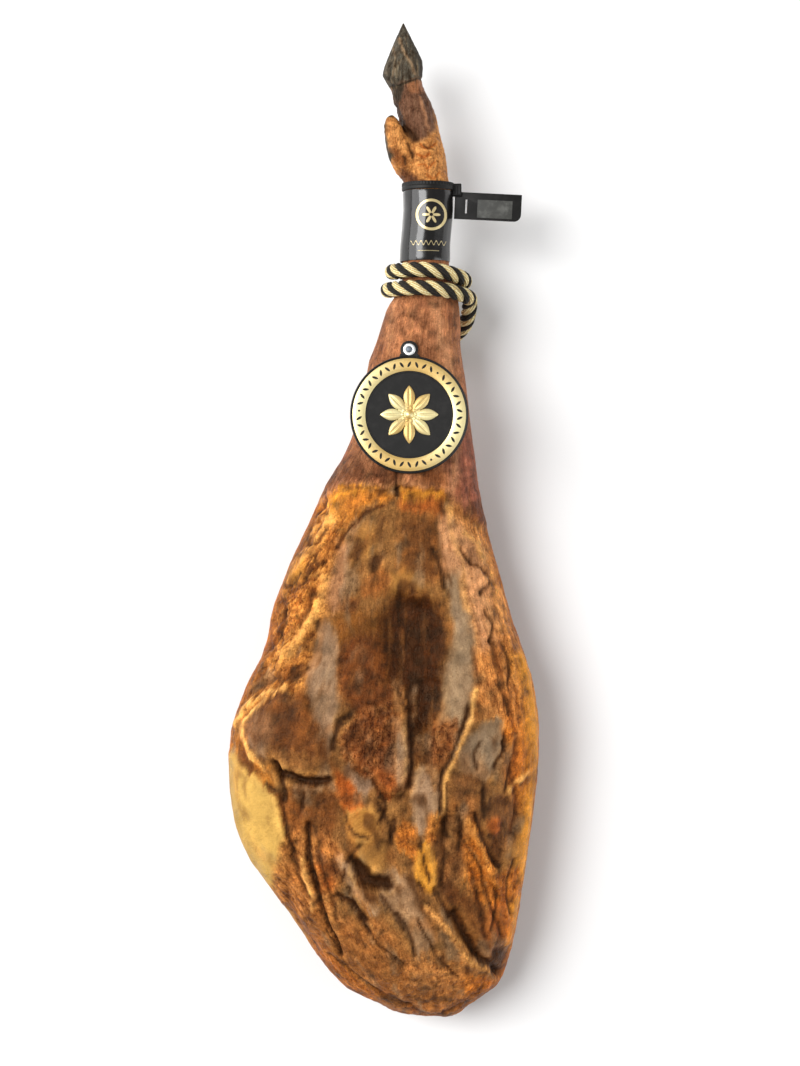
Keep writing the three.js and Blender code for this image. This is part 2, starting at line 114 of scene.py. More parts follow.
# ----------------------------------------------------------------------------------------------- painting
# Shapes on the trimmed face, seen from above, in mm: areas by their outlines and lines by their points.
AREAS = {
    "left border": [(-52, 34), (-20, 22), (-25, 8), (-34, -8), (-38, -30), (-41, -68), (-56, -78),
                    (-60, -100), (-64, -136), (-82, -140), (-100, -148), (-118, -170), (-150, -170),
                    (-120, -80), (-80, 0)],
    "top band": [(-50, 26), (-28, 38), (-4, 36), (6, 30), (16, 35), (46, 32), (54, 22), (48, 12), (28, 16),
                 (8, 18), (-12, 12), (-30, 0), (-44, 10)],
    "rust band": [(8, 18), (28, 17), (50, 16), (52, 4), (36, 6), (12, 8)],
    "pale by crack": [(1, 36), (8, 34), (8, 20), (3, 22)],
    "dark by medal": [(-28, 44), (-6, 40), (8, 40), (6, 33), (-6, 36), (-24, 36)],
    "centre": [(-32, 0), (-12, 10), (8, 6), (40, 4), (50, -16), (50, -56), (36, -52), (10, -64), (-16, -74),
               (-36, -66)],
    "centre right": [(14, 2), (40, 2), (50, -18), (50, -46), (36, -50), (24, -44), (16, -24)],
    "olive spot": [(-22, -2), (-6, -4), (-4, -18), (-10, -26), (-20, -22)],
    "black spot": [(-12, -30), (-5, -26), (4, -26), (0, -32), (-6, -42), (-10, -44)],
    "rust blobs": [(-18, -44), (2, -44), (6, -54), (-2, -60), (-18, -56)],
    "worms": [(-36, -60), (-24, -58), (-20, -66), (-26, -78), (-36, -74)],
    "glow": [(6, -44), (18, -40), (28, -46), (30, -58), (18, -62), (6, -58)],
    "amber brown": [(-42, -78), (-16, -74), (4, -76), (2, -112), (-12, -118), (-40, -104)],
    "hollow left": [(-38, -104), (2, -96), (14, -140), (4, -152), (-24, -154), (-34, -140)],
    "hollow": [(2, -70), (16, -61), (40, -66), (46, -80), (48, -102), (44, -132), (42, -152), (38, -166),
               (26, -166), (22, -142), (10, -134), (2, -118), (-1, -95)],
    "hollow core": [(13, -73), (34, -69), (45, -84), (47, -104), (43, -132), (41, -158), (34, -160),
                    (30, -136), (16, -112)],
    "hollow spill": [(24, -132), (44, -130), (43, -160), (38, -198), (24, -196), (23, -160)],
    "hollow grey": [(8, -130), (16, -132), (20, -150), (26, -156), (24, -136), (28, -132), (24, -164),
                    (14, -158)],
    "left strip": [(-57, -84), (-50, -79), (-42, -92), (-39, -120), (-37, -142), (-43, -162), (-46, -190),
                   (-49, -197), (-57, -178), (-64, -160), (-61, -140), (-64, -122), (-59, -100)],
    "left strip top": [(-40, -14), (-34, -18), (-33, -48), (-38, -72), (-46, -72), (-44, -50), (-40, -30)],
    "right strip": [(51, -46), (60, -40), (66, -60), (72, -84), (77, -118), (73, -146), (68, -170),
                    (48, -172), (43, -150), (46, -130), (50, -108), (54, -88), (55, -68)],
    "right strip top": [(48, 6), (58, 8), (62, -14), (64, -44), (52, -44), (47, -16)],
    "right border": [(56, 18), (96, -10), (150, -150), (150, -200), (104, -176), (78, -150), (78, -120),
                     (68, -62), (62, -20)],
    "right pale": [(60, 4), (76, -14), (90, -60), (92, -100), (80, -106), (72, -70), (64, -36)],
    "right lower": [(106, -176), (122, -180), (122, -256), (106, -250)],
    "right fibres": [(78, -94), (112, -92), (124, -130), (118, -170), (100, -158), (80, -146)],
    "right side": [(102, -140), (150, -140), (140, -420), (100, -360), (112, -300), (116, -250),
                   (106, -220), (100, -180)],
    "lobe": [(-113, -166), (-100, -150), (-80, -140), (-62, -145), (-54, -166), (-49, -186), (-44, -200),
             (-42, -212), (-60, -212), (-76, -208), (-90, -200), (-102, -193), (-112, -182)],
    "lobe left": [(-114, -166), (-102, -154), (-92, -160), (-94, -184), (-102, -192), (-112, -182)],
    "lobe low": [(-98, -186), (-80, -184), (-62, -190), (-48, -204), (-60, -210), (-76, -206), (-90, -200)],
    "fat": [(-150, -186), (-128, -192), (-116, -203), (-104, -211), (-94, -217), (-87, -223), (-83, -238),
            (-79, -258), (-79, -276), (-82, -300), (-84, -330), (-150, -330)],
    "fat top": [(-150, -172), (-120, -178), (-104, -198), (-90, -212), (-100, -214), (-122, -200),
                (-150, -190)],
    "under lobe": [(-82, -215), (-48, -216), (-41, -226), (-37, -242), (-45, -260), (-60, -264),
                   (-76, -256)],
    "low left": [(-78, -258), (-44, -258), (-34, -276), (-40, -306), (-44, -330), (-72, -336), (-90, -320)],
    "low left orange": [(-51, -268), (-42, -284), (-43, -302), (-54, -306), (-58, -290)],
    "orange patch": [(-44, -204), (-30, -207), (-20, -215), (-14, -226), (-20, -238), (-31, -237),
                     (-39, -226)],
    "blue bit": [(-34, -197), (-20, -204), (-9, -212), (-12, -221), (-22, -215), (-33, -206)],
    "leaf": [(-37, -178), (-29, -161), (-12, -150), (6, -149), (16, -158), (22, -174), (22, -192),
             (20, -208), (15, -220), (5, -225), (-5, -216), (-18, -204), (-31, -196)],
    "leaf right": [(9, -156), (17, -160), (21, -180), (20, -206), (14, -219), (9, -206), (12, -184)],
    "leaf tip": [(-8, -202), (6, -200), (10, -216), (4, -224), (-4, -216)],
    "tan by spill": [(40, -166), (60, -166), (62, -180), (52, -200), (42, -200)],
    "low grey": [(24, -208), (35, -198), (45, -203), (47, -220), (44, -242), (40, -254), (28, -257),
                 (23, -240), (21, -224)],
    "low grey dark": [(34, -202), (43, -203), (45, -214), (40, -217), (35, -210)],
    "oval": [(68, -178), (80, -166), (95, -163), (101, -176), (97, -192), (90, -206), (78, -211),
             (66, -206), (61, -196)],
    "oval low": [(64, -188), (80, -186), (88, -204), (78, -216), (64, -208)],
    "under oval": [(60, -206), (84, -212), (88, -236), (76, -248), (64, -240)],
    "right dark": [(84, -232), (98, -226), (114, -238), (112, -262), (100, -270), (93, -283), (86, -262)],
    "right dark orange": [(84, -244), (94, -243), (96, -253), (88, -258)],
    "cartilage": [(-31, -239), (-20, -231), (-7, -231), (-3, -245), (-4, -258), (-22, -261), (-29, -252)],
    "cartilage low": [(-24, -261), (-4, -259), (1, -272), (-1, -286), (-9, -289), (-18, -280)],
    "orange tag": [(10, -250), (24, -250), (28, -264), (30, -278), (22, -276), (10, -266)],
    "yellow tag": [(34, -262), (41, -274), (43, -290), (40, -301), (30, -298), (23, -288), (27, -276)],
    "orange ridge": [(38, -240), (50, -236), (48, -248), (42, -262), (36, -266), (34, -258)],
    "dark pillar": [(46, -242), (60, -240), (66, -262), (62, -292), (48, -306), (44, -286)],
    "orange low right": [(62, -256), (82, -266), (92, -290), (112, -286), (108, -316), (88, -314),
                         (72, -300)],
    "low right": [(50, -300), (80, -308), (96, -330), (105, -352), (100, -378), (84, -370), (70, -350),
                  (58, -330)],
    "low right rust": [(86, -318), (104, -312), (106, -350), (94, -356)],
    "corner": [(91, -354), (104, -350), (104, -382), (94, -378)],
    "dark low": [(-26, -274), (-14, -280), (-7, -291), (4, -291), (6, -300), (-5, -301), (-16, -298),
                 (-23, -290)],
    "grey low": [(-2, -286), (16, -290), (29, -314), (38, -330), (43, -346), (32, -357), (19, -340),
                 (4, -318), (-6, -302)],
    "butt": [(-70, -330), (-36, -322), (0, -330), (24, -356), (64, -366), (84, -378), (106, -384),
             (80, -425), (10, -425), (-50, -400), (-90, -350)],
    "butt light": [(24, -358), (62, -362), (66, -384), (40, -390), (22, -382)],
    "butt orange": [(64, -376), (82, -378), (100, -382), (86, -394), (70, -396)],
}
LINES = {
    "crack": [(10, 42), (10, 32), (9, 21)],
    "band light": [(14, 26), (30, 23), (48, 23)],
    "band light left": [(-44, 18), (-30, 26), (-8, 28)],
    "border crease 1": [(-40, -20), (-34, -9), (-26, -1), (-16, 7), (-4, 13)],
    "border crease 2": [(-80, -57), (-66, -46), (-59, -37), (-48, -32)],
    "border crease 3": [(-104, -133), (-92, -127), (-78, -127), (-64, -120)],
    "border crease 4": [(-99, -104), (-90, -93), (-84, -78), (-86, -62)],
    "border crease 5": [(-70, -86), (-62, -70), (-58, -54)],
    "border crease 6": [(-72, -22), (-60, -12), (-52, 0)],
    "border crease 7": [(-60, 8), (-52, 16), (-50, 26)],
    "border light 1": [(-76, -38), (-66, -24), (-56, -8), (-44, 6)],
    "border light 2": [(-86, -110), (-72, -96), (-64, -84), (-52, -66), (-47, -44)],
    "border light 3": [(-92, -58), (-80, -46), (-68, -36)],
    "rim dark": [(-64, 2), (-82, -40), (-98, -82), (-104, -112), (-122, -148)],
    "lobe rim 1": [(-124, -168), (-113, -150), (-98, -141), (-80, -136)],
    "lobe rim 2": [(-110, -194), (-117, -180), (-117, -168), (-108, -155), (-98, -147)],
    "lobe rim 3": [(-102, -201), (-108, -196), (-113, -188)],
    "lobe crevice": [(-90, -198), (-86, -206), (-76, -208), (-64, -212), (-48, -213)],
    "lobe crevice 2": [(-88, -204), (-84, -215), (-82, -228)],
    "fat edge": [(-98, -216), (-88, -223), (-84, -236), (-79, -258), (-75, -272)],
    "long crease": [(-62, -248), (-61, -275), (-57, -295), (-53, -313), (-47, -330), (-41, -342),
                    (-37, -358)],
    "pale by crease": [(-68, -276), (-62, -300), (-58, -318)],
    "strip crevice": [(-28, -158), (-37, -162), (-40, -172), (-43, -187)],
    "leaf crease": [(21, -152), (23, -175), (23, -196), (20, -217)],
    "leaf crease 2": [(20, -140), (22, -152), (16, -146), (12, -134)],
    "orange fibre": [(76, -138), (70, -164), (60, -188), (52, -205), (50, -225), (48, -240)],
    "fibre crease": [(70, -152), (64, -172), (57, -190), (48, -206), (46, -228), (51, -256)],
    "oval crescent": [(102, -172), (101, -187), (94, -199)],
    "black upright": [(84, -214), (81, -226), (81, -242)],
    "cream dash": [(104, -223), (112, -215), (118, -207)],
    "orange diagonal": [(69, -244), (79, -262), (85, -284), (93, -300)],
    "diagonal crease": [(74, -240), (82, -262), (90, -280), (95, -284)],
    "hole marks": [(9, -244), (8, -254), (4, -263)],
    "lavender low": [(-35, -274), (-26, -290), (-18, -306), (-7, -318)],
    "low crevice": [(-39, -307), (-30, -312), (-22, -318), (-15, -326)],
    "pale ridge": [(34, -314), (44, -324), (53, -337), (62, -350), (73, -363), (88, -371)],
    "ridge crevice": [(58, -322), (66, -338), (77, -357), (90, -370), (101, -378)],
    "gold rim": [(113, -112), (121, -126), (126, -152), (128, -185), (126, -215), (123, -242), (119, -270),
                 (117, -300), (112, -330), (107, -352)],
    "left rim": [(-66, -354), (-52, -361), (-40, -372), (-28, -385), (-12, -397)],
    "left rim dark": [(-82, -320), (-74, -330), (-67, -342), (-58, -356)],
    "bottom crease": [(20, -404), (30, -413), (40, -415), (54, -408), (70, -401)],
    "right crease 1": [(64, -22), (72, -34), (82, -38), (90, -44)],
    "right crease 2": [(82, -58), (90, -50), (94, -50)],
    "right light": [(70, -8), (78, -16), (84, -30)],
    "right fold": [(88, -96), (92, -118), (98, -140), (104, -158)],
    "right fold 2": [(112, -180), (108, -205), (112, -235), (108, -256)],
    "right fold 3": [(72, -286), (76, -300), (80, -318), (84, -340)],
    "taupe top": [(58, 14), (60, -10), (66, -40), (72, -70)],
}
# Paint on the trimmed face, from first to last: shape, tone, softness or half width in mm, strength.
# The cream, yellow and tan lines on raised crests and rims (band light, border light, lobe rim, pale by
# crease, orange fibre, cream dash, right light, pale ridge) are painted highlights; the near-black, brown and
# red-brown lines and patches in carved creases and pits are painted shade.
FACE_STROKES = [
    ("left border", "amber", 5, 1.0), ("right border", "tan", 7, 1.0), ("right side", "orange", 6, 1.0),
    ("top band", "bright amber", 4, 1.0), ("rust band", "rust", 4, 0.7),
    ("band light left", "yellow", 5, 0.7), ("band light", "yellow", 3, 0.8),
    ("pale by crack", "taupe", 3, 0.8), ("dark by medal", "dark skin", 2.5, 1.0),
    ("border light 1", "cream", 7, 0.65), ("border light 2", "cream", 5, 0.6),
    ("border light 3", "yellow", 5, 0.5), ("rim dark", "brown", 6, 0.6),
    ("border crease 3", "brown", 6, 0.6), ("centre", "olive", 7, 1.0), ("centre right", "brown", 6, 0.75),
    ("olive spot", "cartilage", 5, 0.5), ("rust blobs", "rust", 4, 0.35), ("worms", "red brown", 3, 0.6),
    ("black spot", "near black", 2.5, 0.7), ("amber brown", "amber brown", 6, 1.0),
    ("hollow left", "red brown", 7, 0.9), ("left strip top", "pale skin", 4, 0.8),
    ("left strip", "taupe", 3.5, 1.0), ("right strip top", "pale skin", 4, 0.8),
    ("right strip", "grey green", 3.5, 1.0), ("taupe top", "cream", 3, 0.6), ("glow", "cartilage", 6, 0.8),
    ("hollow", "amber brown", 13, 0.7), ("hollow", "hollow", 8, 1.0), ("hollow core", "hollow", 6, 0.9),
    ("hollow spill", "hollow", 4, 0.6), ("hollow grey", "taupe", 2.5, 0.55),
    ("right fibres", "fibres", 6, 0.8), ("right pale", "pale skin", 6, 0.75),
    ("right lower", "red brown", 5, 0.35), ("gold rim", "yellow", 9, 1.0), ("lobe", "brown", 4, 1.0),
    ("lobe left", "lavender", 5, 0.3), ("lobe low", "olive", 5, 0.7), ("fat top", "bright amber", 5, 0.9),
    ("fat", "straw", 2.5, 1.0), ("fat edge", "red brown", 1.8, 0.9), ("lobe rim 1", "cream", 2.8, 0.9),
    ("lobe rim 2", "cream", 2.5, 0.9), ("lobe rim 3", "cream", 2, 0.8), ("under lobe", "brown", 4, 0.9),
    ("low left", "fibres", 5, 0.9), ("low left orange", "rust", 4, 0.8),
    ("pale by crease", "cream", 2.2, 0.7), ("orange patch", "rust", 3.5, 1.0),
    ("blue bit", "lavender", 3, 0.8), ("leaf", "sienna", 2.5, 1.0), ("leaf right", "taupe", 3, 0.8),
    ("leaf tip", "rust", 3, 0.6), ("tan by spill", "sienna", 5, 0.8), ("low grey", "taupe", 3, 1.0),
    ("low grey dark", "umber", 2.5, 0.7), ("under oval", "umber", 5, 0.85), ("oval", "grey green", 3, 1.0),
    ("oval low", "brown", 4, 0.4), ("right dark", "umber", 4, 0.95), ("right dark orange", "rust", 3, 0.8),
    ("orange low right", "orange", 4, 1.0), ("dark pillar", "umber", 5, 0.85),
    ("orange ridge", "orange", 3, 0.9), ("orange fibre", "cream", 2.2, 0.75),
    ("orange diagonal", "orange", 3.5, 0.9), ("cream dash", "cream", 1.8, 0.9),
    ("cartilage low", "olive", 3, 0.7), ("cartilage low", "cartilage", 4, 0.7),
    ("cartilage", "cartilage", 3, 1.0), ("orange tag", "orange", 3, 0.9),
    ("yellow tag", "yellow", 2.5, 1.0), ("butt", "butt", 7, 1.0), ("butt light", "tan", 8, 0.6),
    ("butt orange", "orange", 4, 0.8), ("low right", "brown", 5, 0.9), ("low right rust", "rust", 5, 0.6),
    ("corner", "near black", 4, 0.7), ("grey low", "taupe", 4, 0.75), ("lavender low", "lavender", 4, 0.9),
    ("dark low", "near black", 3.5, 0.75), ("pale ridge", "tan", 3.2, 0.9), ("left rim", "orange", 5, 0.9),
    ("left rim dark", "brown", 4, 0.8), ("ridge crevice", "near black", 2.6, 0.9),
    ("lobe crevice", "near black", 2.4, 0.95), ("lobe crevice 2", "near black", 2.2, 0.8),
    ("long crease", "near black", 1.6, 0.9), ("strip crevice", "near black", 1.8, 0.8),
    ("leaf crease", "near black", 1.7, 0.85), ("leaf crease 2", "near black", 1.5, 0.7),
    ("low crevice", "near black", 2.2, 0.9), ("fibre crease", "near black", 1.5, 0.6),
    ("oval crescent", "near black", 1.8, 0.8), ("black upright", "near black", 2.0, 0.8),
    ("diagonal crease", "near black", 1.6, 0.8), ("hole marks", "near black", 1.5, 0.7),
    ("crack", "near black", 1.3, 1.0), ("border crease 1", "red brown", 1.4, 0.85),
    ("border crease 2", "red brown", 1.4, 0.8), ("border crease 4", "red brown", 1.6, 0.8),
    ("border crease 5", "red brown", 1.3, 0.6), ("border crease 6", "red brown", 1.3, 0.6),
    ("border crease 7", "red brown", 1.6, 0.7), ("bottom crease", "red brown", 1.6, 0.8),
    ("right crease 1", "red brown", 1.3, 0.7), ("right crease 2", "red brown", 1.3, 0.6),
    ("right light", "cream", 3, 0.6), ("right fold", "red brown", 1.6, 0.6),
    ("right fold 2", "red brown", 1.8, 0.6), ("right fold 3", "red brown", 1.8, 0.6),
]
# Relief of the trimmed face: shape, height in mm, softness or half width in mm.
FACE_RELIEF = [
    ("crack", -4.0, 1.6), ("border crease 1", -2.0, 2), ("border crease 2", -2.2, 2),
    ("border crease 3", -3.0, 3), ("border crease 4", -2.6, 2.5), ("border crease 5", -1.8, 2),
    ("border crease 6", -1.6, 2), ("border crease 7", -2.5, 2.5), ("border light 1", 1.6, 5),
    ("border light 2", 2.0, 5), ("border light 3", 1.4, 4), ("band light", 1.5, 3),
    ("band light left", 1.6, 6), ("centre", -1.5, 5), ("glow", 1.5, 5), ("black spot", -1.8, 2.5),
    ("rust blobs", 0.8, 3), ("hollow", -6.0, 11), ("hollow spill", -2.0, 4), ("hollow grey", 1.2, 2.5),
    ("left strip", -1.2, 3), ("left strip top", -0.8, 3), ("right strip", -1.4, 3), ("lobe", 4.0, 6),
    ("lobe rim 1", 2.2, 3), ("lobe rim 2", 1.8, 2.5), ("lobe rim 3", 1.6, 2.2), ("lobe crevice", -8.0, 4),
    ("lobe crevice 2", -4.0, 3), ("fat", 2.6, 3), ("fat edge", -3.2, 2.2), ("long crease", -5.0, 2.4),
    ("pale by crease", 2.0, 2.5), ("strip crevice", -3.0, 2.2), ("leaf", 3.6, 4),
    ("leaf crease", -4.0, 2.4), ("leaf crease 2", -2.5, 2), ("orange patch", 1.6, 3), ("low grey", 1.6, 3),
    ("oval", -2.2, 4), ("oval crescent", -2.4, 2), ("orange fibre", 2.2, 2.5), ("fibre crease", -3.0, 2.4),
    ("black upright", -2.6, 2.4), ("right dark", -2.4, 4), ("right dark orange", 1.6, 3),
    ("orange diagonal", 3.0, 3.5), ("diagonal crease", -3.6, 2.4), ("cream dash", 1.6, 2),
    ("cartilage", 3.2, 3.5), ("cartilage low", 2.4, 3), ("hole marks", -2.0, 2), ("orange tag", 1.4, 3),
    ("yellow tag", 3.0, 3), ("orange ridge", 2.2, 3), ("dark pillar", -2.6, 4), ("dark low", -8.0, 4),
    ("low crevice", -4.5, 3), ("lavender low", 1.6, 3), ("grey low", -1.0, 4), ("pale ridge", 4.2, 4),
    ("ridge crevice", -6.5, 4), ("corner", -3.0, 4), ("bottom crease", -2.2, 2),
    ("left rim dark", -1.6, 3), ("gold rim", 1.2, 5), ("right crease 1", -1.8, 2),
    ("right crease 2", -1.6, 2), ("right fold", -2.0, 2.4), ("right fold 2", -2.4, 3),
    ("right fold 3", -2.6, 3), ("right light", 1.2, 3),
]
# Small open creases on the trimmed face.
WRINKLES = [
    [(-82, -264), (-68, -294), (-53, -324)], [(-21, -324), (-4, -349), (17, -366)],
    [(26, -328), (43, -354), (60, -377)], [(62, -251), (77, -281), (86, -307), (99, -341)],
    [(52, -213), (50, -255), (48, -298)], [(-4, -230), (5, -247), (6, -264)], [(31, -264), (37, -294)],
    [(-46, -358), (-12, -388), (18, -405)], [(-52, -262), (-50, -285), (-44, -305), (-38, -325)],
    [(-30, -300), (-22, -318), (-14, -338)], [(10, -322), (20, -340), (26, -356)],
    [(100, -180), (107, -200), (101, -222)], [(108, -280), (103, -300), (108, -322)],
    [(-30, -240), (-24, -252), (-12, -258)], [(-8, -212), (2, -232), (-2, -244)],
    [(-66, -222), (-67, -234)], [(40, -22), (47, -38), (50, -54)], [(86, -70), (92, -84), (88, -98)],
    [(98, -100), (104, -118), (102, -134)], [(80, -180), (74, -190), (76, -202)],
    [(60, -232), (64, -250), (62, -268)], [(40, -300), (50, -312), (54, -324)],
    [(-18, -262), (-30, -278), (-36, -296)], [(92, -300), (94, -318), (90, -336)],
    [(-2, -306), (8, -322), (14, -336)], [(-100, -88), (-90, -82), (-82, -70)],
    [(-88, -52), (-78, -50), (-70, -40)], [(-64, -18), (-56, -14), (-48, -4)],
]
# The edge of the skin, which is left on the shank and cut in a V above the trimmed face.
SKIN_OUTLINE = [(-140, 4), (-52, 19), (-36, 28), (-22, 31), (2, 27), (12, 30), (28, 26), (46, 27),
                (57, 18), (68, 8), (90, -8), (150, -40), (150, 300), (-150, 300)]
SKIN_STROKES = [
    ("area", "rosy skin", 6, 0.9, [(50, 78), (80, 70), (95, -10), (76, 2), (58, 26)]),
    ("area", "dark skin", 3, 0.8, [(72, 16), (90, 18), (92, -14), (80, -4), (66, 12)]),
    ("area", "dark skin", 6, 0.7, [(-38, 50), (-23, 62), (-7, 52), (-10, 40), (-37, 34), (-55, 20)]),
    ("area", "dark skin", 3, 0.9, [(-34, 46), (-6, 46), (14, 46), (13, 34), (-6, 30), (-28, 32)]),
    ("area", "red brown", 6, 0.6, [(24, 44), (44, 46), (52, 30), (30, 34)]),
    ("line", "pale skin", 4, 0.7, [(46, 186), (48, 150), (54, 110), (58, 60), (56, 30)]),
    ("line", "dark skin", 4, 0.5, [(2, 190), (-8, 140), (-22, 90), (-44, 30)]),
    ("line", "pale skin", 3, 0.4, [(10, 190), (6, 160), (2, 140)]),
]

HORN_EDGE = 1.2  # softness of the horn's edge, in mm
HORN_OUTLINE = [(14, 430), (45, 400), (36, 372), (31, 368.5), (22, 364.5), (8, 360), (-12, 362), (-12, 400)]
# The pale lines on FOOT_RELIEF's ridges (the hoof's middle ridge and the pastern) are painted highlights; the
# dark lines in its grooves are partly the creases' own colour and partly painted shade.
FOOT_STROKES = [
    ("area", "horn", HORN_EDGE, 1.0, HORN_OUTLINE),
    ("area", "dark horn", 1.2, 0.9, [(14, 430), (18, 412), (26, 392), (30.4, 382), (30, 369), (45, 380),
                                     (30, 420)]),
    ("line", "dark horn", 1.3, 0.9, [(15, 414), (8, 398), (-1, 373), (2, 364)]),
    ("line", "pale horn", 1.5, 0.95, [(12.5, 400), (15.7, 390), (20.9, 380.4), (25.7, 370)]),
    ("line", "pale horn", 1.2, 0.5, [(8, 392), (9, 380), (7, 368)]),
    ("line", "dark horn", 0.8, 0.8, [(5.7, 380), (4.7, 366)]),
    ("line", "dark horn", 0.8, 0.7, [(9.5, 381), (11.4, 364)]),
    ("line", "dark horn", 0.7, 0.7, [(13.4, 394), (13, 388)]),
    ("area", "mauve", 3, 1.0, [(8, 360), (22, 364), (33, 366), (42, 340), (41, 322), (27, 314), (14, 330),
                               (8, 344)]),
    ("area", "skin", 2, 0.9, [(20, 364), (33.3, 367), (35, 357), (28, 354), (20, 357)]),
    ("line", "dark horn", 1.0, 0.9, [(7, 360.5), (14, 360.8), (22, 364.2), (32, 368)]),
    ("area", "dark horn", 2, 0.8, [(6, 361), (15, 360), (14, 350), (10, 346)]),
    ("line", "pale skin", 1.3, 0.7, [(29.5, 351), (33, 338), (37, 325)]),
    ("line", "near black", 3.0, 1.0, [(9.5, 346), (13, 334), (20, 322), (26, 316)]),
    ("area", "tan", 3, 0.75, [(36, 322), (50, 300), (52, 280), (36, 280), (42, 300)]),
    ("line", "rust", 1.0, 0.8, [(30, 311), (36, 308), (42, 313)]),
    ("line", "rust", 1.1, 0.8, [(27, 303), (33, 301), (38, 304)]),
    ("line", "near black", 0.8, 0.6, [(33, 311), (35, 309), (41, 307)]),
    ("line", "rust", 1.0, 0.7, [(28, 294), (33, 295), (36, 292), (42, 297)]),
    ("line", "rust", 1.0, 0.6, [(35, 287), (41, 283), (46, 288)]),
    ("area", "tan", 2, 0.9, [(4, 334), (8, 333), (15, 324), (19, 312), (14, 306), (6, 312)]),
    ("area", "red brown", 3, 0.8, [(5, 309), (15, 304), (20, 300), (17, 292), (8, 298)]),
    ("line", "near black", 1.2, 0.8, [(16, 301), (18, 298), (17.5, 295)]),
    ("line", "near black", 0.9, 0.8, [(20, 312), (23.3, 304), (24, 300)]),
    ("line", "dark horn", 2.0, 1.0, [(5, 336), (-0.5, 334), (-0.8, 325), (2.5, 308), (5, 302)]),
    ("area", "dark skin", 3, 0.9, [(14, 292), (22, 288), (30, 279), (14, 272)]),
]
FOOT_RELIEF = [
    ("line", -1.0, 1.1, [(7, 360.5), (14, 360.8), (22, 364.2), (32, 368)]),
    ("line", 0.8, 1.4, [(12.5, 402), (15.7, 390), (20.9, 380.4), (25.7, 370)]),
    ("line", -0.7, 0.8, [(5.7, 380), (4.7, 366)]),
    ("line", -0.7, 0.8, [(9.5, 381), (11.4, 364)]),
    ("line", 0.8, 1.6, [(29.5, 351), (33, 338), (37, 325)]),
    ("line", -1.6, 1.5, [(10, 344), (13, 334), (20, 322), (26, 316)]),
    ("line", -1.0, 0.9, [(30, 311), (36, 308), (42, 313)]),
    ("line", -1.1, 0.9, [(27, 303), (33, 301), (38, 304)]),
    ("line", -1.0, 0.8, [(28, 294), (33, 295), (36, 292), (42, 297)]),
    ("line", -0.9, 0.9, [(35, 287), (41, 283), (46, 288)]),
    ("line", -1.0, 1.0, [(20, 312), (23.3, 304), (24, 300)]),
]


# ------------------------------------------------------------------------------------- points and strokes
def smooth_line(points, pieces=6, closed=False):
    """Points along the centripetal Catmull-Rom curve through the given ones."""
    p = np.array(points, float)
    if closed:
        p = np.vstack([p[-1], p, p[0], p[1]])
    else:
        p = np.vstack([2 * p[0] - p[1], p, 2 * p[-1] - p[-2]])
    t = (np.arange(pieces) / pieces)[:, None]
    runs = []
    for a, b, c, d in zip(p[:-3], p[1:-2], p[2:-1], p[3:]):
        before, here, after = [math.sqrt(np.linalg.norm(step)) for step in (b - a, c - b, d - c)]
        start = here * ((b - a) / before - (c - a) / (before + here)) + c - b
        end = here * ((d - c) / after - (d - b) / (here + after)) + c - b
        square = 3 * (c - b) - 2 * start - end
        cube = 2 * (b - c) + start + end
        runs.append(b + t * start + t**2 * square + t**3 * cube)
    if not closed:
        runs.append(p[-2:-1])
    return np.vstack(runs)


def distance_to(line, x, y, closed=False):
    """Distance of each point to a line, which is negative inside a closed one."""
    if closed:
        line = np.vstack([line, line[:1]])
    best = np.full(x.shape, np.inf)
    inside = np.zeros(x.shape, bool)
    for (ax, ay), (bx, by) in zip(line[:-1], line[1:]):
        dx = bx - ax
        dy = by - ay
        share = np.clip(((x - ax) * dx + (y - ay) * dy) / max(dx * dx + dy * dy, 1e-9), 0, 1)
        best = np.minimum(best, (x - ax - share * dx) ** 2 + (y - ay - share * dy) ** 2)
        if closed and ay != by:
            inside ^= ((ay > y) != (by > y)) & (x < ax + (y - ay) / (by - ay) * dx)
    return np.where(inside, -1, 1) * np.sqrt(best)


def smooth_step(value, low, high):
    """A smooth rise from 0 at low to 1 at high."""
    share = np.clip((value - low) / (high - low), 0, 1)
    return share * share * (3 - 2 * share)


def cover(kind, width, points, x, y):
    """How much of each place an area or a line covers, from 0 to 1."""
    if kind == "area":
        return 1 - smooth_step(distance_to(smooth_line(points, 4, True), x, y, True), -width, width)
    return np.exp(-((distance_to(smooth_line(points), x, y) / width) ** 2))


def named(shape):
    """The kind and points of a named shape."""
    return ("area", AREAS[shape]) if shape in AREAS else ("line", LINES[shape])


def noise_at(points, octaves=3, seed=0.0):
    """Fractal noise of about -1 to 1 at each row of points."""
    shift = Vector((seed, 1.7 * seed, -0.6 * seed))
    fractal = noise.fractal
    return np.array([fractal(Vector(p) + shift, 1.0, 2.1, octaves) for p in points.tolist()])


# ------------------------------------------------------------------------------------------- mesh helpers
def select_only(piece):
    """Makes a piece the only one selected."""
    bpy.ops.object.select_all(action="DESELECT")
    piece.select_set(True)
    bpy.context.view_layer.objects.active = piece


def apply_modifier(piece, kind, **settings):
    """Adds a modifier to a piece and applies it."""
    modifier = piece.modifiers.new(kind.lower(), kind)
    for name, value in settings.items():
        setattr(modifier, name, value)
    select_only(piece)
    bpy.ops.object.modifier_apply(modifier=modifier.name)


def copy_of_node(node, name):
    """A merged copy of a CAD node, as a new piece."""
    piece = bpy.data.objects.new(name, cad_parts[node].data.copy())
    bpy.context.scene.collection.objects.link(piece)
    piece.data.materials.clear()
    select_only(piece)
    bpy.ops.object.mode_set(mode="EDIT")
    bpy.ops.mesh.select_all(action="SELECT")
    bpy.ops.mesh.remove_doubles(threshold=1e-5)
    bpy.ops.object.mode_set(mode="OBJECT")
    return piece


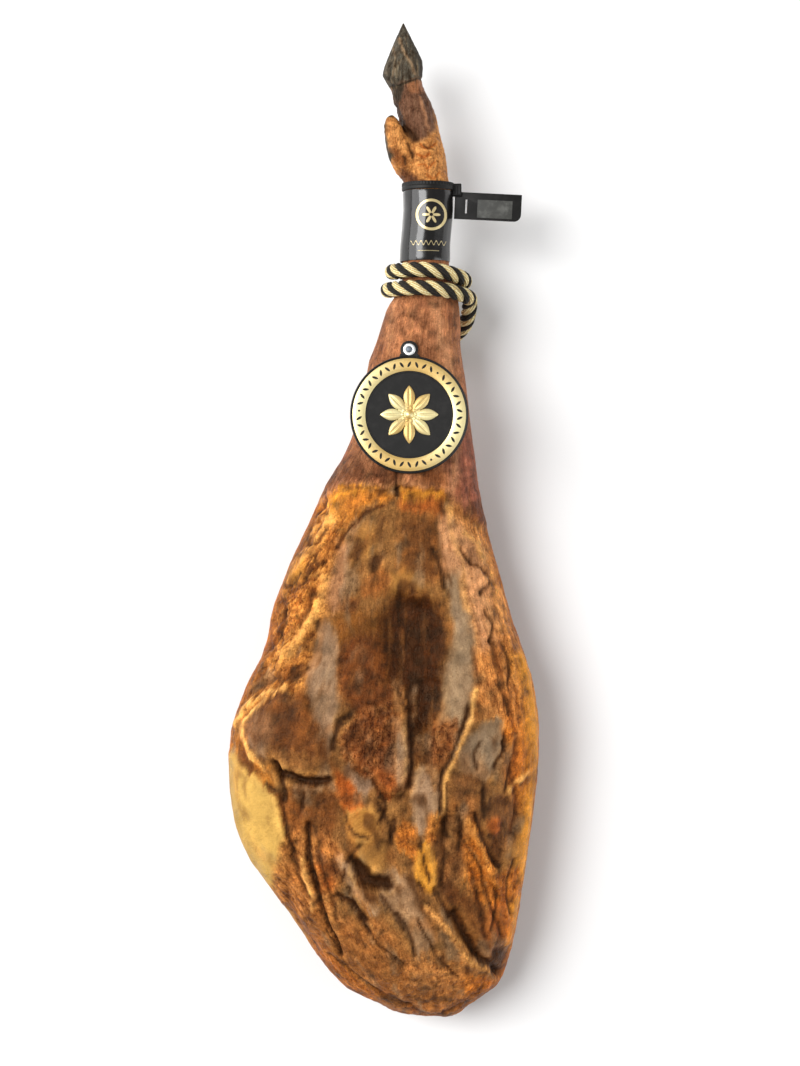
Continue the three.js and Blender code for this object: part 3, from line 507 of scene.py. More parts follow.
def keep_side(piece, place, normal):
    """Cuts a closed piece by a plane, keeps the side that the normal points away from, and closes it."""
    select_only(piece)
    bpy.ops.object.mode_set(mode="EDIT")
    bpy.ops.mesh.select_all(action="SELECT")
    bpy.ops.mesh.bisect(plane_co=place, plane_no=normal, use_fill=True, clear_outer=True)
    bpy.ops.object.mode_set(mode="OBJECT")


def places(mesh):
    """The places of the vertices, a row each."""
    flat = np.empty(len(mesh.vertices) * 3, np.float32)
    mesh.vertices.foreach_get("co", flat)
    return flat.reshape(-1, 3).astype(float)


def normals(mesh):
    """The normals of the vertices, a row each."""
    flat = np.empty(len(mesh.vertices) * 3, np.float32)
    mesh.vertex_normals.foreach_get("vector", flat)
    return flat.reshape(-1, 3).astype(float)


def set_places(mesh, points):
    """Moves the vertices to the given rows."""
    mesh.vertices.foreach_set("co", points.astype(np.float32).ravel())
    mesh.update()


def set_colours(mesh, name, values):
    """Stores a colour or vector for each vertex."""
    attribute = mesh.color_attributes.new(name, "FLOAT_COLOR", "POINT")
    rows = np.ones((len(values), 4), np.float32)
    rows[:, : values.shape[1]] = values
    attribute.data.foreach_set("color", rows.ravel())


def set_vectors(mesh, name, values):
    attribute = mesh.attributes.new(name, "FLOAT_VECTOR", "POINT")
    attribute.data.foreach_set("vector", values.astype(np.float32).ravel())


def loft(name, rings, closed=False):
    """A piece whose skin runs over rings of points; its ends are capped unless it closes on itself."""
    count, around, _ = rings.shape
    faces = []
    for i in range(count if closed else count - 1):
        low = i * around
        high = (i + 1) % count * around
        for j in range(around):
            k = (j + 1) % around
            faces.append((low + j, low + k, high + k, high + j))
    if not closed:
        faces.append(tuple(range(around))[::-1])
        faces.append(tuple(range((count - 1) * around, count * around)))
    mesh = bpy.data.meshes.new(name)
    mesh.from_pydata(rings.reshape(-1, 3).tolist(), [], faces)
    piece = bpy.data.objects.new(name, mesh)
    bpy.context.scene.collection.objects.link(piece)
    face_outwards(piece)
    return piece


def face_outwards(piece):
    """Merges doubles and turns all faces outwards."""
    select_only(piece)
    bpy.ops.object.mode_set(mode="EDIT")
    bpy.ops.mesh.select_all(action="SELECT")
    bpy.ops.mesh.remove_doubles(threshold=1e-6)
    bpy.ops.mesh.normals_make_consistent(inside=False)
    bpy.ops.object.mode_set(mode="OBJECT")


def smooth_shaded(piece, degrees=35):
    select_only(piece)
    bpy.ops.object.shade_smooth_by_angle(angle=math.radians(degrees))
    return piece


def along(line, gap):
    """Even steps along a line with a frame that doesn't spin: places, two cross directions and lengths."""
    lengths = np.concatenate([[0], np.cumsum(np.linalg.norm(np.diff(line, axis=0), axis=1))])
    at = np.linspace(0, lengths[-1], round(lengths[-1] / gap) + 1)
    spots = np.stack([np.interp(at, lengths, line[:, i]) for i in range(3)], axis=1)
    tangents = np.gradient(spots, axis=0)
    tangents /= np.linalg.norm(tangents, axis=1)[:, None]
    across = np.cross(tangents[0], (0.3, 0.2, 1.0))
    rows = []
    for tangent in tangents:
        across = across - np.dot(across, tangent) * tangent
        across /= np.linalg.norm(across)
        rows.append(across)
    across = np.array(rows)
    return spots, across, np.cross(tangents, across), at


def tube_rings(spots, across, over, radius, sides):
    """Rings of points round a line; the radius may change along it."""
    angle = 2 * np.pi * np.arange(sides) / sides
    radius = np.broadcast_to(np.asarray(radius, float), len(spots))[:, None, None]
    ring = across[:, None] * np.cos(angle)[None, :, None] + over[:, None] * np.sin(angle)[None, :, None]
    return spots[:, None] + radius * ring


def joined(name, pieces):
    """Several pieces made one."""
    bpy.ops.object.select_all(action="DESELECT")
    for piece in pieces:
        piece.select_set(True)
    bpy.context.view_layer.objects.active = pieces[0]
    if len(pieces) > 1:
        bpy.ops.object.join()
    pieces[0].name = name
    return pieces[0]


def dressed(piece, material):
    """Gives a piece one material."""
    piece.data.materials.clear()
    piece.data.materials.append(material)
    return piece


def box_between(low, high, bevel, segments=3):
    """A box between two corners with its edges rounded."""
    bpy.ops.object.select_all(action="DESELECT")
    bpy.ops.mesh.primitive_cube_add(size=1.0)
    box = bpy.context.object
    low = np.array(low)
    high = np.array(high)
    set_places(box.data, (low + high) / 2 + places(box.data) * (high - low))
    apply_modifier(box, "BEVEL", width=bevel, segments=segments)
    return box


def turned(outline, steps):
    """A turned piece about Z from points of radius and height, which run round its closed half outline."""
    bpy.ops.object.select_all(action="DESELECT")
    bpy.ops.mesh.primitive_circle_add(vertices=len(outline))
    piece = bpy.context.object
    set_places(piece.data, np.array([(radius, 0.0, height) for radius, height in outline]))
    bpy.ops.object.mode_set(mode="EDIT")
    bpy.ops.mesh.select_all(action="SELECT")
    bpy.ops.mesh.spin(steps=steps, angle=2 * math.pi, center=(0, 0, 0), axis=(0, 0, 1))
    bpy.ops.object.mode_set(mode="OBJECT")
    face_outwards(piece)
    return piece


def cut_by(piece, tool, operation="DIFFERENCE"):
    """Cuts a piece by another, or joins them, and removes the other."""
    apply_modifier(piece, "BOOLEAN", operation=operation, object=tool, solver="EXACT")
    bpy.data.objects.remove(tool)
    return piece


def finish_piece(piece, slot, *nodes):
    """Gives a dressed piece its body and hides the CAD nodes that it stands for; the slot is not used."""
    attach(piece, "root")
    if nodes:
        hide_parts(*nodes)
    return piece


# ------------------------------------------------------------------------------------------- shader maths
class Field:
    """A shader socket, so that maths on it is written as an expression."""

    def __init__(self, finish, socket):
        self.finish = finish
        self.socket = socket

    def maths(self, operation, *values):
        return self.finish.maths(operation, *values)

    def __add__(self, other):
        return self.maths("ADD", self, other)

    __radd__ = __add__

    def __sub__(self, other):
        return self.maths("SUBTRACT", self, other)

    def __rsub__(self, other):
        return self.maths("SUBTRACT", other, self)

    def __mul__(self, other):
        return self.maths("MULTIPLY", self, other)

    __rmul__ = __mul__

    def __pow__(self, other):
        return self.maths("POWER", self, other)

    def sine(self):
        return self.maths("SINE", self)

    def cosine(self):
        return self.maths("COSINE", self)

    def size(self):
        return self.maths("ABSOLUTE", self)

    def clamped(self):
        return self.finish.node("ShaderNodeClamp", {}, {0: self})


class Finish:
    """A material that is built up from nodes."""

    def __init__(self, name, **constants):
        self.material = bpy.data.materials.new(name)
        self.material.use_nodes = True
        self.tree = self.material.node_tree
        self.shader = self.tree.nodes["Principled BSDF"]
        for socket, value in constants.items():
            self.shader.inputs[socket.replace("_", " ")].default_value = value

    def node(self, kind, settings, values, output=0):
        """One node: its settings are set first, then its sockets' values or links. Gives an output."""
        made = self.tree.nodes.new(kind)
        for name, value in settings.items():
            setattr(made, name, value)
        for key, value in values.items():
            self.feed(made.inputs[key], value)
        return Field(self, made.outputs[output])

    def maths(self, operation, *values):
        return self.node("ShaderNodeMath", {"operation": operation}, dict(enumerate(values)))

    def feed(self, socket, value):
        if isinstance(value, Field):
            self.tree.links.new(value.socket, socket)
        else:
            socket.default_value = value

    def set(self, socket, value):
        self.feed(self.shader.inputs[socket], value)

    def place(self):
        return self.node("ShaderNodeTexCoord", {}, {}, "Object")

    def attribute(self, name, output="Vector"):
        return self.node("ShaderNodeAttribute", {"attribute_name": name}, {}, output)

    def split(self, vector):
        parts = self.node("ShaderNodeSeparateXYZ", {}, {0: vector})
        return [Field(self, parts.socket.node.outputs[i]) for i in range(3)]

    def stretched(self, vector, scale):
        return self.node("ShaderNodeVectorMath", {"operation": "MULTIPLY"}, {0: vector, 1: scale})

    def noise(self, vector, scale, detail=3.0, roughness=0.5, distortion=0.0):
        values = {"Vector": vector, "Scale": scale, "Detail": detail, "Roughness": roughness,
                  "Distortion": distortion}
        return self.node("ShaderNodeTexNoise", {}, values)

    def ramp(self, value, low, high, to_low=0.0, to_high=1.0):
        """A smooth step of a value from low to high."""
        values = {0: value, 1: low, 2: high, 3: to_low, 4: to_high}
        return self.node("ShaderNodeMapRange", {"interpolation_type": "SMOOTHSTEP"}, values)

    def mix(self, share, a, b, blend="MIX"):
        settings = {"data_type": "RGBA", "blend_type": blend}
        colours = [v if isinstance(v, Field) else (*v, 1.0) for v in (a, b)]
        return self.node("ShaderNodeMix", settings, {0: share, 6: colours[0], 7: colours[1]}, 2)

    def bump(self, height):
        """A normal from a height in metres."""
        return self.node("ShaderNodeBump", {}, {"Height": height, "Distance": 1.0, "Strength": 1.0})


# ----------------------------------------------------------------------------------------------- the rope
ROW_SHIFT = np.array([0.6866, 0.2, 0.0]) * MM  # from the axes that the parts are laid out in to the frame's
ROPE_LAY = 32 * MM  # length of one full twist of its four strands
STRAND_RADIUS = 2.75 * MM
STRAND_OFFSET = 3.75 * MM
STRANDS = 4
STRAND_SIDES = 12
ROPE_TURNS = 2
ROPE_TURN_POINTS = 14
# Centre line of a turn where the turns begin and where they end: x, z, half width, half depth, y.
ROPE_START = np.array([35, 74, 28.2, 29.2, 210.5])
ROPE_END = np.array([35.4, 73.4, 34.7, 33.8, 185])
ROPE_RISE = 3
ROPE_FROM_KNOT = [(38, 160, 11), (41, 171, 9.5), (44, 184, 12), (43, 199, 17.5), (40, 213, 27), (34, 219, 38)]
ROPE_TO_KNOT = [(70, 176, 61), (66.5, 165.5, 44), (58, 157, 26)]
KNOT = np.array([40, 149, 17.5])
KNOT_REACH = np.array([13.6, 12.0, 11.4])
KNOT_SCALE = 0.82  # the knot's rope is pulled thinner
KNOT_TAILS = [[(34, 150, 20), (31, 142, 15), (29, 136, 8)], [(46, 150, 18), (50, 142, 15), (51, 136.5, 9)]]


def rope_route():
    """The rope's centre line: from the knot, twice round the shank, and back to the knot."""
    turns = []
    count = ROPE_TURNS * ROPE_TURN_POINTS
    for i in range(count + 1):
        share = i / count
        angle = math.radians(-112) - 2 * math.pi * ROPE_TURNS * share + math.radians(112) * share
        x, z, half_x, half_z, y = ROPE_START + (ROPE_END - ROPE_START) * share
        rise = ROPE_RISE * max(math.sin(angle), 0) ** 2
        turns.append((x + half_x * math.cos(angle), y + rise, z + half_z * math.sin(angle)))
    return smooth_line(ROPE_FROM_KNOT + turns + ROPE_TO_KNOT, 12) * MM + ROW_SHIFT


def laid_rope(name, line, scale=1.0):
    """Four strands, gold and black in turn, laid right-handed round a line."""
    spots, across, over, at = along(line, 1.4 * MM)
    pieces = []
    for strand in range(STRANDS):
        phase = (2 * np.pi * at / ROPE_LAY + strand * np.pi / 2)[:, None]
        centre = spots + scale * STRAND_OFFSET * (across * np.cos(phase) + over * np.sin(phase))
        own, own_across, own_over, length = along(centre, 1.5 * MM)
        rings = tube_rings(own, own_across, own_over, scale * STRAND_RADIUS, STRAND_SIDES)
        piece = loft(name, rings)
        turn = np.tile(np.arange(STRAND_SIDES) / STRAND_SIDES, len(own))
        yarn = np.stack([turn, np.repeat(length, STRAND_SIDES), np.full(len(turn), strand % 2)], axis=1)
        set_vectors(piece.data, "yarn", yarn)
        piece.data.shade_smooth()
        pieces.append(piece)
    return joined(name, pieces)


def knot_line():
    """A tight trefoil, lying on the table."""
    turn = np.linspace(0, 2 * np.pi, 160)
    x = (np.sin(turn) + 2 * np.sin(2 * turn)) / 3
    y = (np.cos(turn) - 2 * np.cos(2 * turn)) / 3
    z = -np.sin(3 * turn)
    return (KNOT + np.stack([x, y, 0.55 * z], axis=1) * KNOT_REACH) * MM + ROW_SHIFT


def rope_material():
    """Gold and black yarn."""
    finish = Finish("twisted_cord", Specular_IOR_Level=0.35)
    yarn = finish.attribute("yarn")
    turn, length, black = finish.split(yarn)
    place = finish.place()
    fuzz = finish.noise(place, 900.0, 3.0, 0.6)
    wear = finish.noise(place, 160.0, 4.0, 0.6)
    grooves = (8 * 2 * math.pi * turn + 2 * math.pi / 0.011 * length).sine()
    glint = finish.ramp(fuzz + 0.12 * grooves, 0.42, 0.68)
    gold = finish.mix(glint, linear((206, 176, 116)), linear((250, 242, 190)))
    gold = finish.mix(finish.ramp(wear, 0.55, 0.75) * 0.5, gold, linear((230, 204, 140)))
    dark = finish.mix(glint, linear((14, 11, 9)), linear((46, 40, 30)))
    finish.set("Base Color", finish.mix(black, gold, dark))
    finish.set("Metallic", 0.15 - 0.15 * black)
    finish.set("Roughness", 0.42 + 0.25 * black + 0.15 * fuzz)
    finish.set("Normal", finish.bump(0.00022 * grooves + 0.0003 * fuzz))
    return finish.material


ROPE_CORD = rope_material()
ROPE_LINE = rope_route()
ROPE = finish_piece(dressed(laid_rope("hanging_rope", ROPE_LINE), ROPE_CORD), "twisted_cord", "rope")
TAILS = [laid_rope("tail", smooth_line(tail) * MM + ROW_SHIFT, KNOT_SCALE) for tail in KNOT_TAILS]
KNOT_PIECE = joined("tied_knot", [laid_rope("knot", knot_line(), KNOT_SCALE), *TAILS])
finish_piece(dressed(KNOT_PIECE, ROPE_CORD), "twisted_cord", "rope_knot")
[tuple(spot) for spot in along(ROPE_LINE, 4 * MM)[0]]


# ------------------------------------------------------------------------------------------------ the ham
FOOT_CUT = 0.262  # y where the foot's finer mesh begins, under the sleeve
BODY_GRAIN = 0.0021  # spacing of the body's mesh
FOOT_GRAIN = 0.0009  # spacing of the foot's mesh
SKIN_STEP = 3.0  # how far the skin stands above the trimmed face, in mm


def outline_middle(points, y):
    """The middle and half width of the leg at each y, from its widest points."""
    bins = np.arange(-0.42, 0.43, 0.01)
    index = np.clip(np.digitize(points[:, 1], bins), 1, len(bins) - 1)
    groups = [points[index == i, 0] for i in range(1, len(bins))]
    low = np.array([group.min() if len(group) else np.nan for group in groups])
    high = np.array([group.max() if len(group) else np.nan for group in groups])
    good = ~np.isnan(low)
    at = (bins[:-1] + 0.005)[good]
    soft = np.array([1, 2, 3, 2, 1]) / 9
    low = np.convolve(np.pad(low[good], 2, mode="edge"), soft, mode="valid")
    high = np.convolve(np.pad(high[good], 2, mode="edge"), soft, mode="valid")
    return np.interp(y, at, (low + high) / 2), np.interp(y, at, (high - low) / 2)


def crease(points, width, octaves=3, seed=0.0):
    """1 along wandering lines, the zeros of a noise, and 0 away from them."""
    return 1 - smooth_step(np.abs(noise_at(points, octaves, seed)), 0.0, width)


class Hide:
    """The outside of a stretch of the ham: its places, its relief and its coats of paint."""

    def __init__(self, cut_normal, grain_size, smoothing):
        self.piece = copy_of_node("ham", "hide")
        keep_side(self.piece, (0, FOOT_CUT, 0), cut_normal)
        apply_modifier(self.piece, "REMESH", mode="VOXEL", voxel_size=grain_size)
        apply_modifier(self.piece, "SMOOTH", factor=0.6, iterations=smoothing)
        self.points = places(self.piece.data)
        self.out = normals(self.piece.data)
        self.x, self.y, self.z = self.points.T
        self.relief = np.zeros(len(self.points))
        self.coats = []

    def new_coat(self, tone):
        self.colours = np.zeros((len(self.points), 3))
        self.natures = np.zeros((len(self.points), 3))
        self.coats.append(self.colours)
        self.tint(tone, 1.0)

    def tint(self, tone, share):
        """Paints a tone over the colours and natures by its share at each place."""
        rgb, *nature = TONES[tone]
        share = np.broadcast_to(share, len(self.points))[:, None]
        self.colours += share * (np.array(rgb, float) - self.colours)
        self.natures += share * (np.array(nature, float) - self.natures)

    def scale(self, factor):
        """Makes every coat darker or lighter, keeping its hue."""
        for colours in self.coats:
            colours *= factor[:, None]
            np.minimum(colours, 250, out=colours)

    def stain_or_painted_light(self, colour, share):
        """Changes the colours alone, in every coat: real stains, and painted shade or painted highlight where
        the relief calls for them.
        """
        for colours in self.coats:
            colours += share[:, None] * (np.array(colour, float) - colours)

    def stroke(self, strokes, share, x, y):
        for kind, tone, width, strength, line in strokes:
            self.tint(tone, share * strength * cover(kind, width, line, x, y))

    def model(self, forms, share, x, y):
        for kind, height, width, line in forms:
            self.relief += height * cover(kind, width, line, x, y) * share

    def shade_relief(self, rounds, dark, pale, share):
        """Darkens what lies below its surroundings as painted shade and pales what stands above them as
        painted highlight.
        """
        mesh = self.piece.data
        ends = np.empty(2 * len(mesh.edges), int)
        mesh.edges.foreach_get("vertices", ends)
        one, other = ends.reshape(-1, 2).T
        count = np.bincount(ends, minlength=len(self.points)) + 1
        soft = self.relief
        for _ in range(rounds):
            total = np.bincount(one, soft[other], len(soft)) + np.bincount(other, soft[one], len(soft))
            soft = (soft + total) / count
        above = self.relief - soft
        # painted shade in the hollows, then painted highlight on the crests
        self.stain_or_painted_light((48, 24, 8), share * np.clip(-above * dark, 0, 0.85))
        self.stain_or_painted_light((244, 186, 104), share * np.clip((above - 0.15) * pale, 0, 0.5))

    def finished(self, grain, valley):
        self.points += self.out * (self.relief * MM)[:, None]
        self.points[:, 2] = np.maximum(self.points[:, 2], 0.0)
        mesh = self.piece.data
        set_places(mesh, self.points)
        set_colours(mesh, "paint", linear(self.coats[0]))
        set_colours(mesh, "second_paint", linear(self.coats[-1]))
        set_vectors(mesh, "nature", self.natures)
        set_vectors(mesh, "grain", grain)
        set_vectors(mesh, "valley", valley)
        mesh.shade_smooth()
        return self.piece


def ham_body():
    """The leg up to the sleeve, with its skin and its trimmed face."""
    hide = Hide((0, 1, 0), BODY_GRAIN, 8)
    points, out, x, y, z = hide.points, hide.out, hide.x, hide.y, hide.z
    middle, half = outline_middle(points, y)
    grain = np.stack([(x - middle) / np.maximum(half, 0.02) * 0.1, y, z], axis=1)

    # the strokes' places wander, mostly along the grain, so that no edge is drawn with a ruler
    far = noise_at(points * 26, 2, 3)
    near = noise_at(points * 150, 2, 7)
    face = smooth_step(out[:, 2], -0.1, 0.3)
    body = 1 - smooth_step(y, 0.03, 0.075)
    for seed in (11, 23):
        frayed = noise_at(grain * (190, 24, 120), 2, seed)
        paint_x = x / MM + 4 * far + 1.3 * near + 1.2 * frayed
        paint_y = y / MM + 4 * noise_at(points * 26, 2, 5) + 5 * frayed + 1.3 * near
        skin = cover("area", 1.8, SKIN_OUTLINE, x / MM + 2 * far + near, y / MM + 2 * far + 2.5 * frayed)
        trimmed = face * (1 - skin)
        hide.new_coat("rind")
        hide.tint("olive", trimmed)
        hide.tint("skin", skin)
        for shape, tone, width, strength in FACE_STROKES:
            kind, line = named(shape)
            hide.stroke([(kind, tone, width, strength, line)], trimmed, paint_x, paint_y)
        # the wrinkles are painted near black, as painted shade in the creases carved below
        hide.stroke([("line", "near black", 1.0, 0.6, line) for line in WRINKLES], trimmed, paint_x, paint_y)
        hide.stroke(SKIN_STROKES, skin * (0.25 + 0.75 * face), paint_x, paint_y)
        edge_fat = smooth_step(out[:, 2], -0.5, -0.1) * (1 - face) * (1 - skin)
        hide.tint("orange", edge_fat * 0.7)
        left = smooth_step(-x, 0.0, 0.04)
        hide.tint("straw", edge_fat * left * smooth_step(-y, 0.18, 0.21) * (1 - smooth_step(-y, 0.33, 0.37)))

    fibre, wrinkle, _ = hide.natures.T
    step = SKIN_STEP * cover("area", 2.0, SKIN_OUTLINE, x / MM + 2 * far, y / MM + 2 * far)
    hide.relief += step * face * body
    for shape, height, width in FACE_RELIEF:
        kind, line = named(shape)
        form = (kind, height, width, line)
        hide.model([form], face * body, x / MM + 2 * far + 0.8 * near, y / MM + 2 * far + 1.5 * frayed)
    open_creases = [("line", -2.2, 1.9, line) for line in WRINKLES]
    hide.model(open_creases, face * body, x / MM + 3 * far, y / MM + 3 * far)
    # painted shade in the relief's hollows and painted highlight on its crests
    hide.shade_relief(10, 0.42, 0.22, face)
    bend = np.stack([0.6 * np.minimum(y + 0.25, 0), 0 * y, 0 * y], axis=1)
    folds = crease((grain + bend) * (150, 62, 110), 0.3, 2, 5) * wrinkle
    crinkles = crease((grain + 0.02 * far[:, None]) * (120, 150, 110), 0.36, 3, 15)
    crinkles = crinkles * smooth_step(wrinkle, 0.45, 0.9)
    strands = crease((grain + bend) * (230, 26, 150), 0.25, 2, 9) * fibre
    lumps = noise_at(points * 30, 3, 2)
    nodules = noise_at(points * 90, 2, 13)
    depth = (0.35 + 0.65 * face) * (0.3 + 0.7 * body) * (1 - smooth_step(y, 0.175, 0.19))
    hide.relief += (2.2 * lumps * (0.3 + wrinkle) + 1.0 * nodules * wrinkle) * depth
    hide.relief -= (1.3 * folds + 0.8 * strands + 1.3 * crinkles) * depth
    # painted shade darkens the crinkles' carved valleys
    hide.stain_or_painted_light((122, 62, 20), 0.55 * crinkles * (1 - skin))

    # the lean is streaked along its fibres, the skin is mottled, and the face is lightened and darkened in
    # patches
    shade = hide.coats[0][:, 0]
    lean = face * (1 - skin) * smooth_step(shade, 72, 104) * (1 - smooth_step(shade, 180, 205))
    hide.stain_or_painted_light((176, 102, 42), 0.3 * smooth_step(noise_at(grain * (60, 26, 50), 3, 71), 0.15, 0.6) * lean)
    hide.stain_or_painted_light((138, 118, 96), 0.5 * smooth_step(noise_at(grain * (66, 30, 50), 3, 73), 0.2, 0.65) * lean)
    hide.stain_or_painted_light((66, 34, 12), 0.6 * smooth_step(noise_at(grain * (72, 30, 60), 3, 75), 0.25, 0.7) * lean)
    hide.stain_or_painted_light((142, 82, 58), 0.4 * smooth_step(noise_at(points * (42, 16, 42), 3, 77), 0.05, 0.6) * skin)
    hide.stain_or_painted_light((200, 146, 104), 0.4 * smooth_step(noise_at(points * (50, 14, 42), 3, 79), 0.1, 0.6) * skin)
    patch = noise_at(points * 42, 2, 61)
    spot = noise_at(points * 130, 3, 63)
    hide.scale(1 - face * (0.16 * smooth_step(patch, 0.0, 0.8) - 0.1 * smooth_step(-patch, 0.0, 0.8)))
    hide.scale(1 - face * (fibre + wrinkle).clip(0, 0.8) * (0.4 * smooth_step(spot, 0.1, 0.8)
                                                            - 0.3 * smooth_step(-spot, 0.1, 0.8)))
    streak = noise_at((grain + bend) * (260, 16, 150), 3, 21)
    hide.stain_or_painted_light((92, 48, 22), 0.35 * smooth_step(streak, 0.1, 0.6) * fibre)
    hide.stain_or_painted_light((232, 168, 98), 0.35 * smooth_step(-streak, 0.15, 0.6) * fibre)
    hide.relief -= 1.8 * face * body
    return hide.finished(grain, np.stack([folds, strands, face], axis=1))


def ham_foot():
    """The foot above the sleeve, with its toes and dewclaws."""
    hide = Hide((0, -1, 0), FOOT_GRAIN, 4)
    points, x, y, z = hide.points, hide.x, hide.y, hide.z
    wander = 1.2 * noise_at(points * 160, 3, 31)
    paint_x = x / MM + wander
    paint_y = y / MM + 1.2 * noise_at(points * 160, 3, 37)
    everywhere = np.ones(len(points))
    hide.new_coat("foot")
    hide.stroke(FOOT_STROKES, everywhere, paint_x, paint_y)
    hide.model(FOOT_RELIEF, everywhere, paint_x, paint_y)
    horn = cover("area", HORN_EDGE, HORN_OUTLINE, x / MM, y / MM)
    grain = np.stack([x * 1.0, y, z], axis=1)
    fibre, wrinkle, _ = hide.natures.T
    folds = crease(points * (120, 190, 150), 0.3, 2, 41) * wrinkle * (1 - horn)
    strands = crease(grain * (700, 45, 500), 0.3, 2, 43) * fibre
    hide.relief += 0.5 * noise_at(points * 130, 2, 47) * (1 - 0.6 * horn)
    hide.relief -= 0.75 * folds + 0.3 * strands
    streak = noise_at(grain * (600, 40, 500), 3, 51)
    hide.stain_or_painted_light((52, 42, 30), 0.45 * smooth_step(streak, 0.0, 0.6) * fibre)
    hide.stain_or_painted_light((176, 150, 116), 0.4 * smooth_step(-streak, 0.1, 0.6) * fibre)
    return hide.finished(grain, np.stack([folds, strands, everywhere], axis=1))


def meat_material():
    """Skin, fat and lean: the painted coats, broken up along the fibres."""
    finish = Finish("cured_meat", Specular_IOR_Level=0.2, Specular_Tint=(1.0, 0.72, 0.46, 1.0))
    fibre, wrinkle, gloss = finish.split(finish.attribute("nature"))
    folds, strands, _ = finish.split(finish.attribute("valley"))
    grain = finish.attribute("grain")
    place = finish.place()
    streaks = finish.noise(finish.stretched(grain, (1.0, 0.12, 0.6)), 420.0, 4.0, 0.6)
    threads = finish.noise(finish.stretched(grain, (1.0, 0.3, 0.7)), 1100.0, 3.0, 0.6)
    mottle = finish.noise(place, 110.0, 6.0, 0.62, 0.5)
    grit = finish.noise(place, 700.0, 3.0, 0.6)
    flecks = finish.noise(finish.stretched(place, (1.0, 0.45, 1.0)), 420.0, 3.0, 0.55)
    choice = finish.noise(finish.stretched(grain, (1.0, 0.16, 0.6)), 300.0, 5.0, 0.65)
    paint = finish.mix(finish.ramp(choice, 0.47, 0.53), finish.attribute("paint", "Color"),
                       finish.attribute("second_paint", "Color"))
    rough = (fibre + wrinkle).clamped()
    bright = finish.mix(1.0, paint, (1.22, 1.18, 1.12), "MULTIPLY")
    dark = finish.mix(1.0, paint, (0.42, 0.31, 0.24), "MULTIPLY")
    depth = 0.62 * fibre * finish.ramp(streaks, 0.54, 0.36) + 0.2 * rough * finish.ramp(flecks, 0.46, 0.34)
    depth = depth + 0.34 * (0.4 + rough) * finish.ramp(mottle, 0.54, 0.38)
    colour = finish.mix((0.08 + depth).clamped(), bright, dark)
    # pale specks of painted glint, and dark specks
    speckled = (0.25 + rough).clamped()
    pale = finish.mix(1.0, colour, (1.75, 1.65, 1.5), "MULTIPLY")
    burnt = finish.mix(1.0, colour, (0.45, 0.36, 0.3), "MULTIPLY")
    colour = finish.mix(0.5 * speckled * finish.ramp(grit, 0.55, 0.68), colour, pale)
    colour = finish.mix(0.5 * speckled * finish.ramp(grit, 0.44, 0.33), colour, burnt)
    # painted shade: every crease goes dark and reddish
    lines = (finish.noise(finish.stretched(grain, (1.0, 0.35, 0.8)), 240.0, 3.0) - 0.5).size()
    cracks = finish.ramp(lines, 0.018, 0.0) * (0.35 * fibre + 0.5 * wrinkle)
    net = (finish.noise(finish.stretched(place, (1.0, 1.3, 1.0)), 210.0, 2.0, 0.5, 0.6) - 0.5).size()
    cracks = cracks + finish.ramp(net, 0.03, 0.0) * wrinkle * wrinkle * 0.38
    crease_shade = finish.mix(1.0, colour, (0.28, 0.15, 0.10), "MULTIPLY")
    colour = finish.mix((0.5 * folds + 0.4 * strands + cracks).clamped(), colour, crease_shade)
    finish.set("Base Color", colour)
    finish.set("Roughness", (0.7 - 0.34 * gloss + 0.5 * (mottle - 0.5) + 0.2 * (grit - 0.5)).clamped())
    height = (streaks - 0.5) * fibre * 0.0016 + (threads - 0.5) * 0.0004 + (mottle - 0.5) * 0.0024
    height = height + (grit - 0.5) * 0.0004 + (flecks - 0.5) * rough * 0.0009 - 0.0006 * cracks
    finish.set("Normal", finish.bump(height))
    return finish.material


HAM = dressed(joined("cured_ham", [ham_body(), ham_foot()]), meat_material())
finish_piece(HAM, "cured_meat", "ham")


# ---------------------------------------------------------------------------------------- sleeve and seal
SLEEVE_WALL = 0.7 * MM
SLEEVE_POINTS = 128
PRINT = (0.0389, 0.2532)  # middle of the ring printed on the sleeve
PRINT_RING = 0.0119  # its radius
WAVE_LEVEL = 0.2300  # y of the wavy line below the ring
FINE_LEVEL = 0.2236  # y of the straight line below that
LINES_MIDDLE = 0.0365  # x of the middle of both
STRAP_FROM = 0.2748
STRAP_TO = 0.2812
STRAP_RIBS = 52
FLAG_CORNER = np.array([58.2, 274, 76]) * MM + ROW_SHIFT
FLAG_TILT = math.radians(-2.8)
FLAG_SIZE = np.array([55.5, 22.5, 1.3]) * MM
LOCK_LOW = np.array([55.6, 270.2, 72]) * MM + ROW_SHIFT
LOCK_HIGH = np.array([63.4, 280.6, 79.5]) * MM + ROW_SHIFT


def ankle_sections():
    """Rows of y and the edges in x and z of the sleeve's CAD solid."""
    points = places(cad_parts["label_sleeve"].data)
    levels = np.unique(np.round(points[:, 1], 4))
    rows = []
    for y in levels:
        ring = points[np.abs(points[:, 1] - y) < 2e-4]
        if np.ptp(ring[:, 0]) > 0.03:
            rows.append((y, ring[:, 0].min(), ring[:, 0].max(), ring[:, 2].min(), ring[:, 2].max()))
    return np.array(rows).T


ANKLE = ankle_sections()


def ankle_ring(y, offset, count=SLEEVE_POINTS):
    """A ring round the ankle at y, an offset outside the sleeve; the offset may change round it."""
    left, right, under, top = (np.interp(y, ANKLE[0], row) for row in ANKLE[1:])
    angle = 2 * np.pi * np.arange(count) / count
    across = (right - left) / 2 + offset
    depth = (top - under) / 2 + offset
    x = (left + right) / 2 + across * np.sign(np.cos(angle)) * np.abs(np.cos(angle)) ** 0.976
    z = (under + top) / 2 + depth * np.sign(np.sin(angle)) * np.abs(np.sin(angle)) ** 0.976
    return np.stack([x, np.full(count, y), z], axis=1)


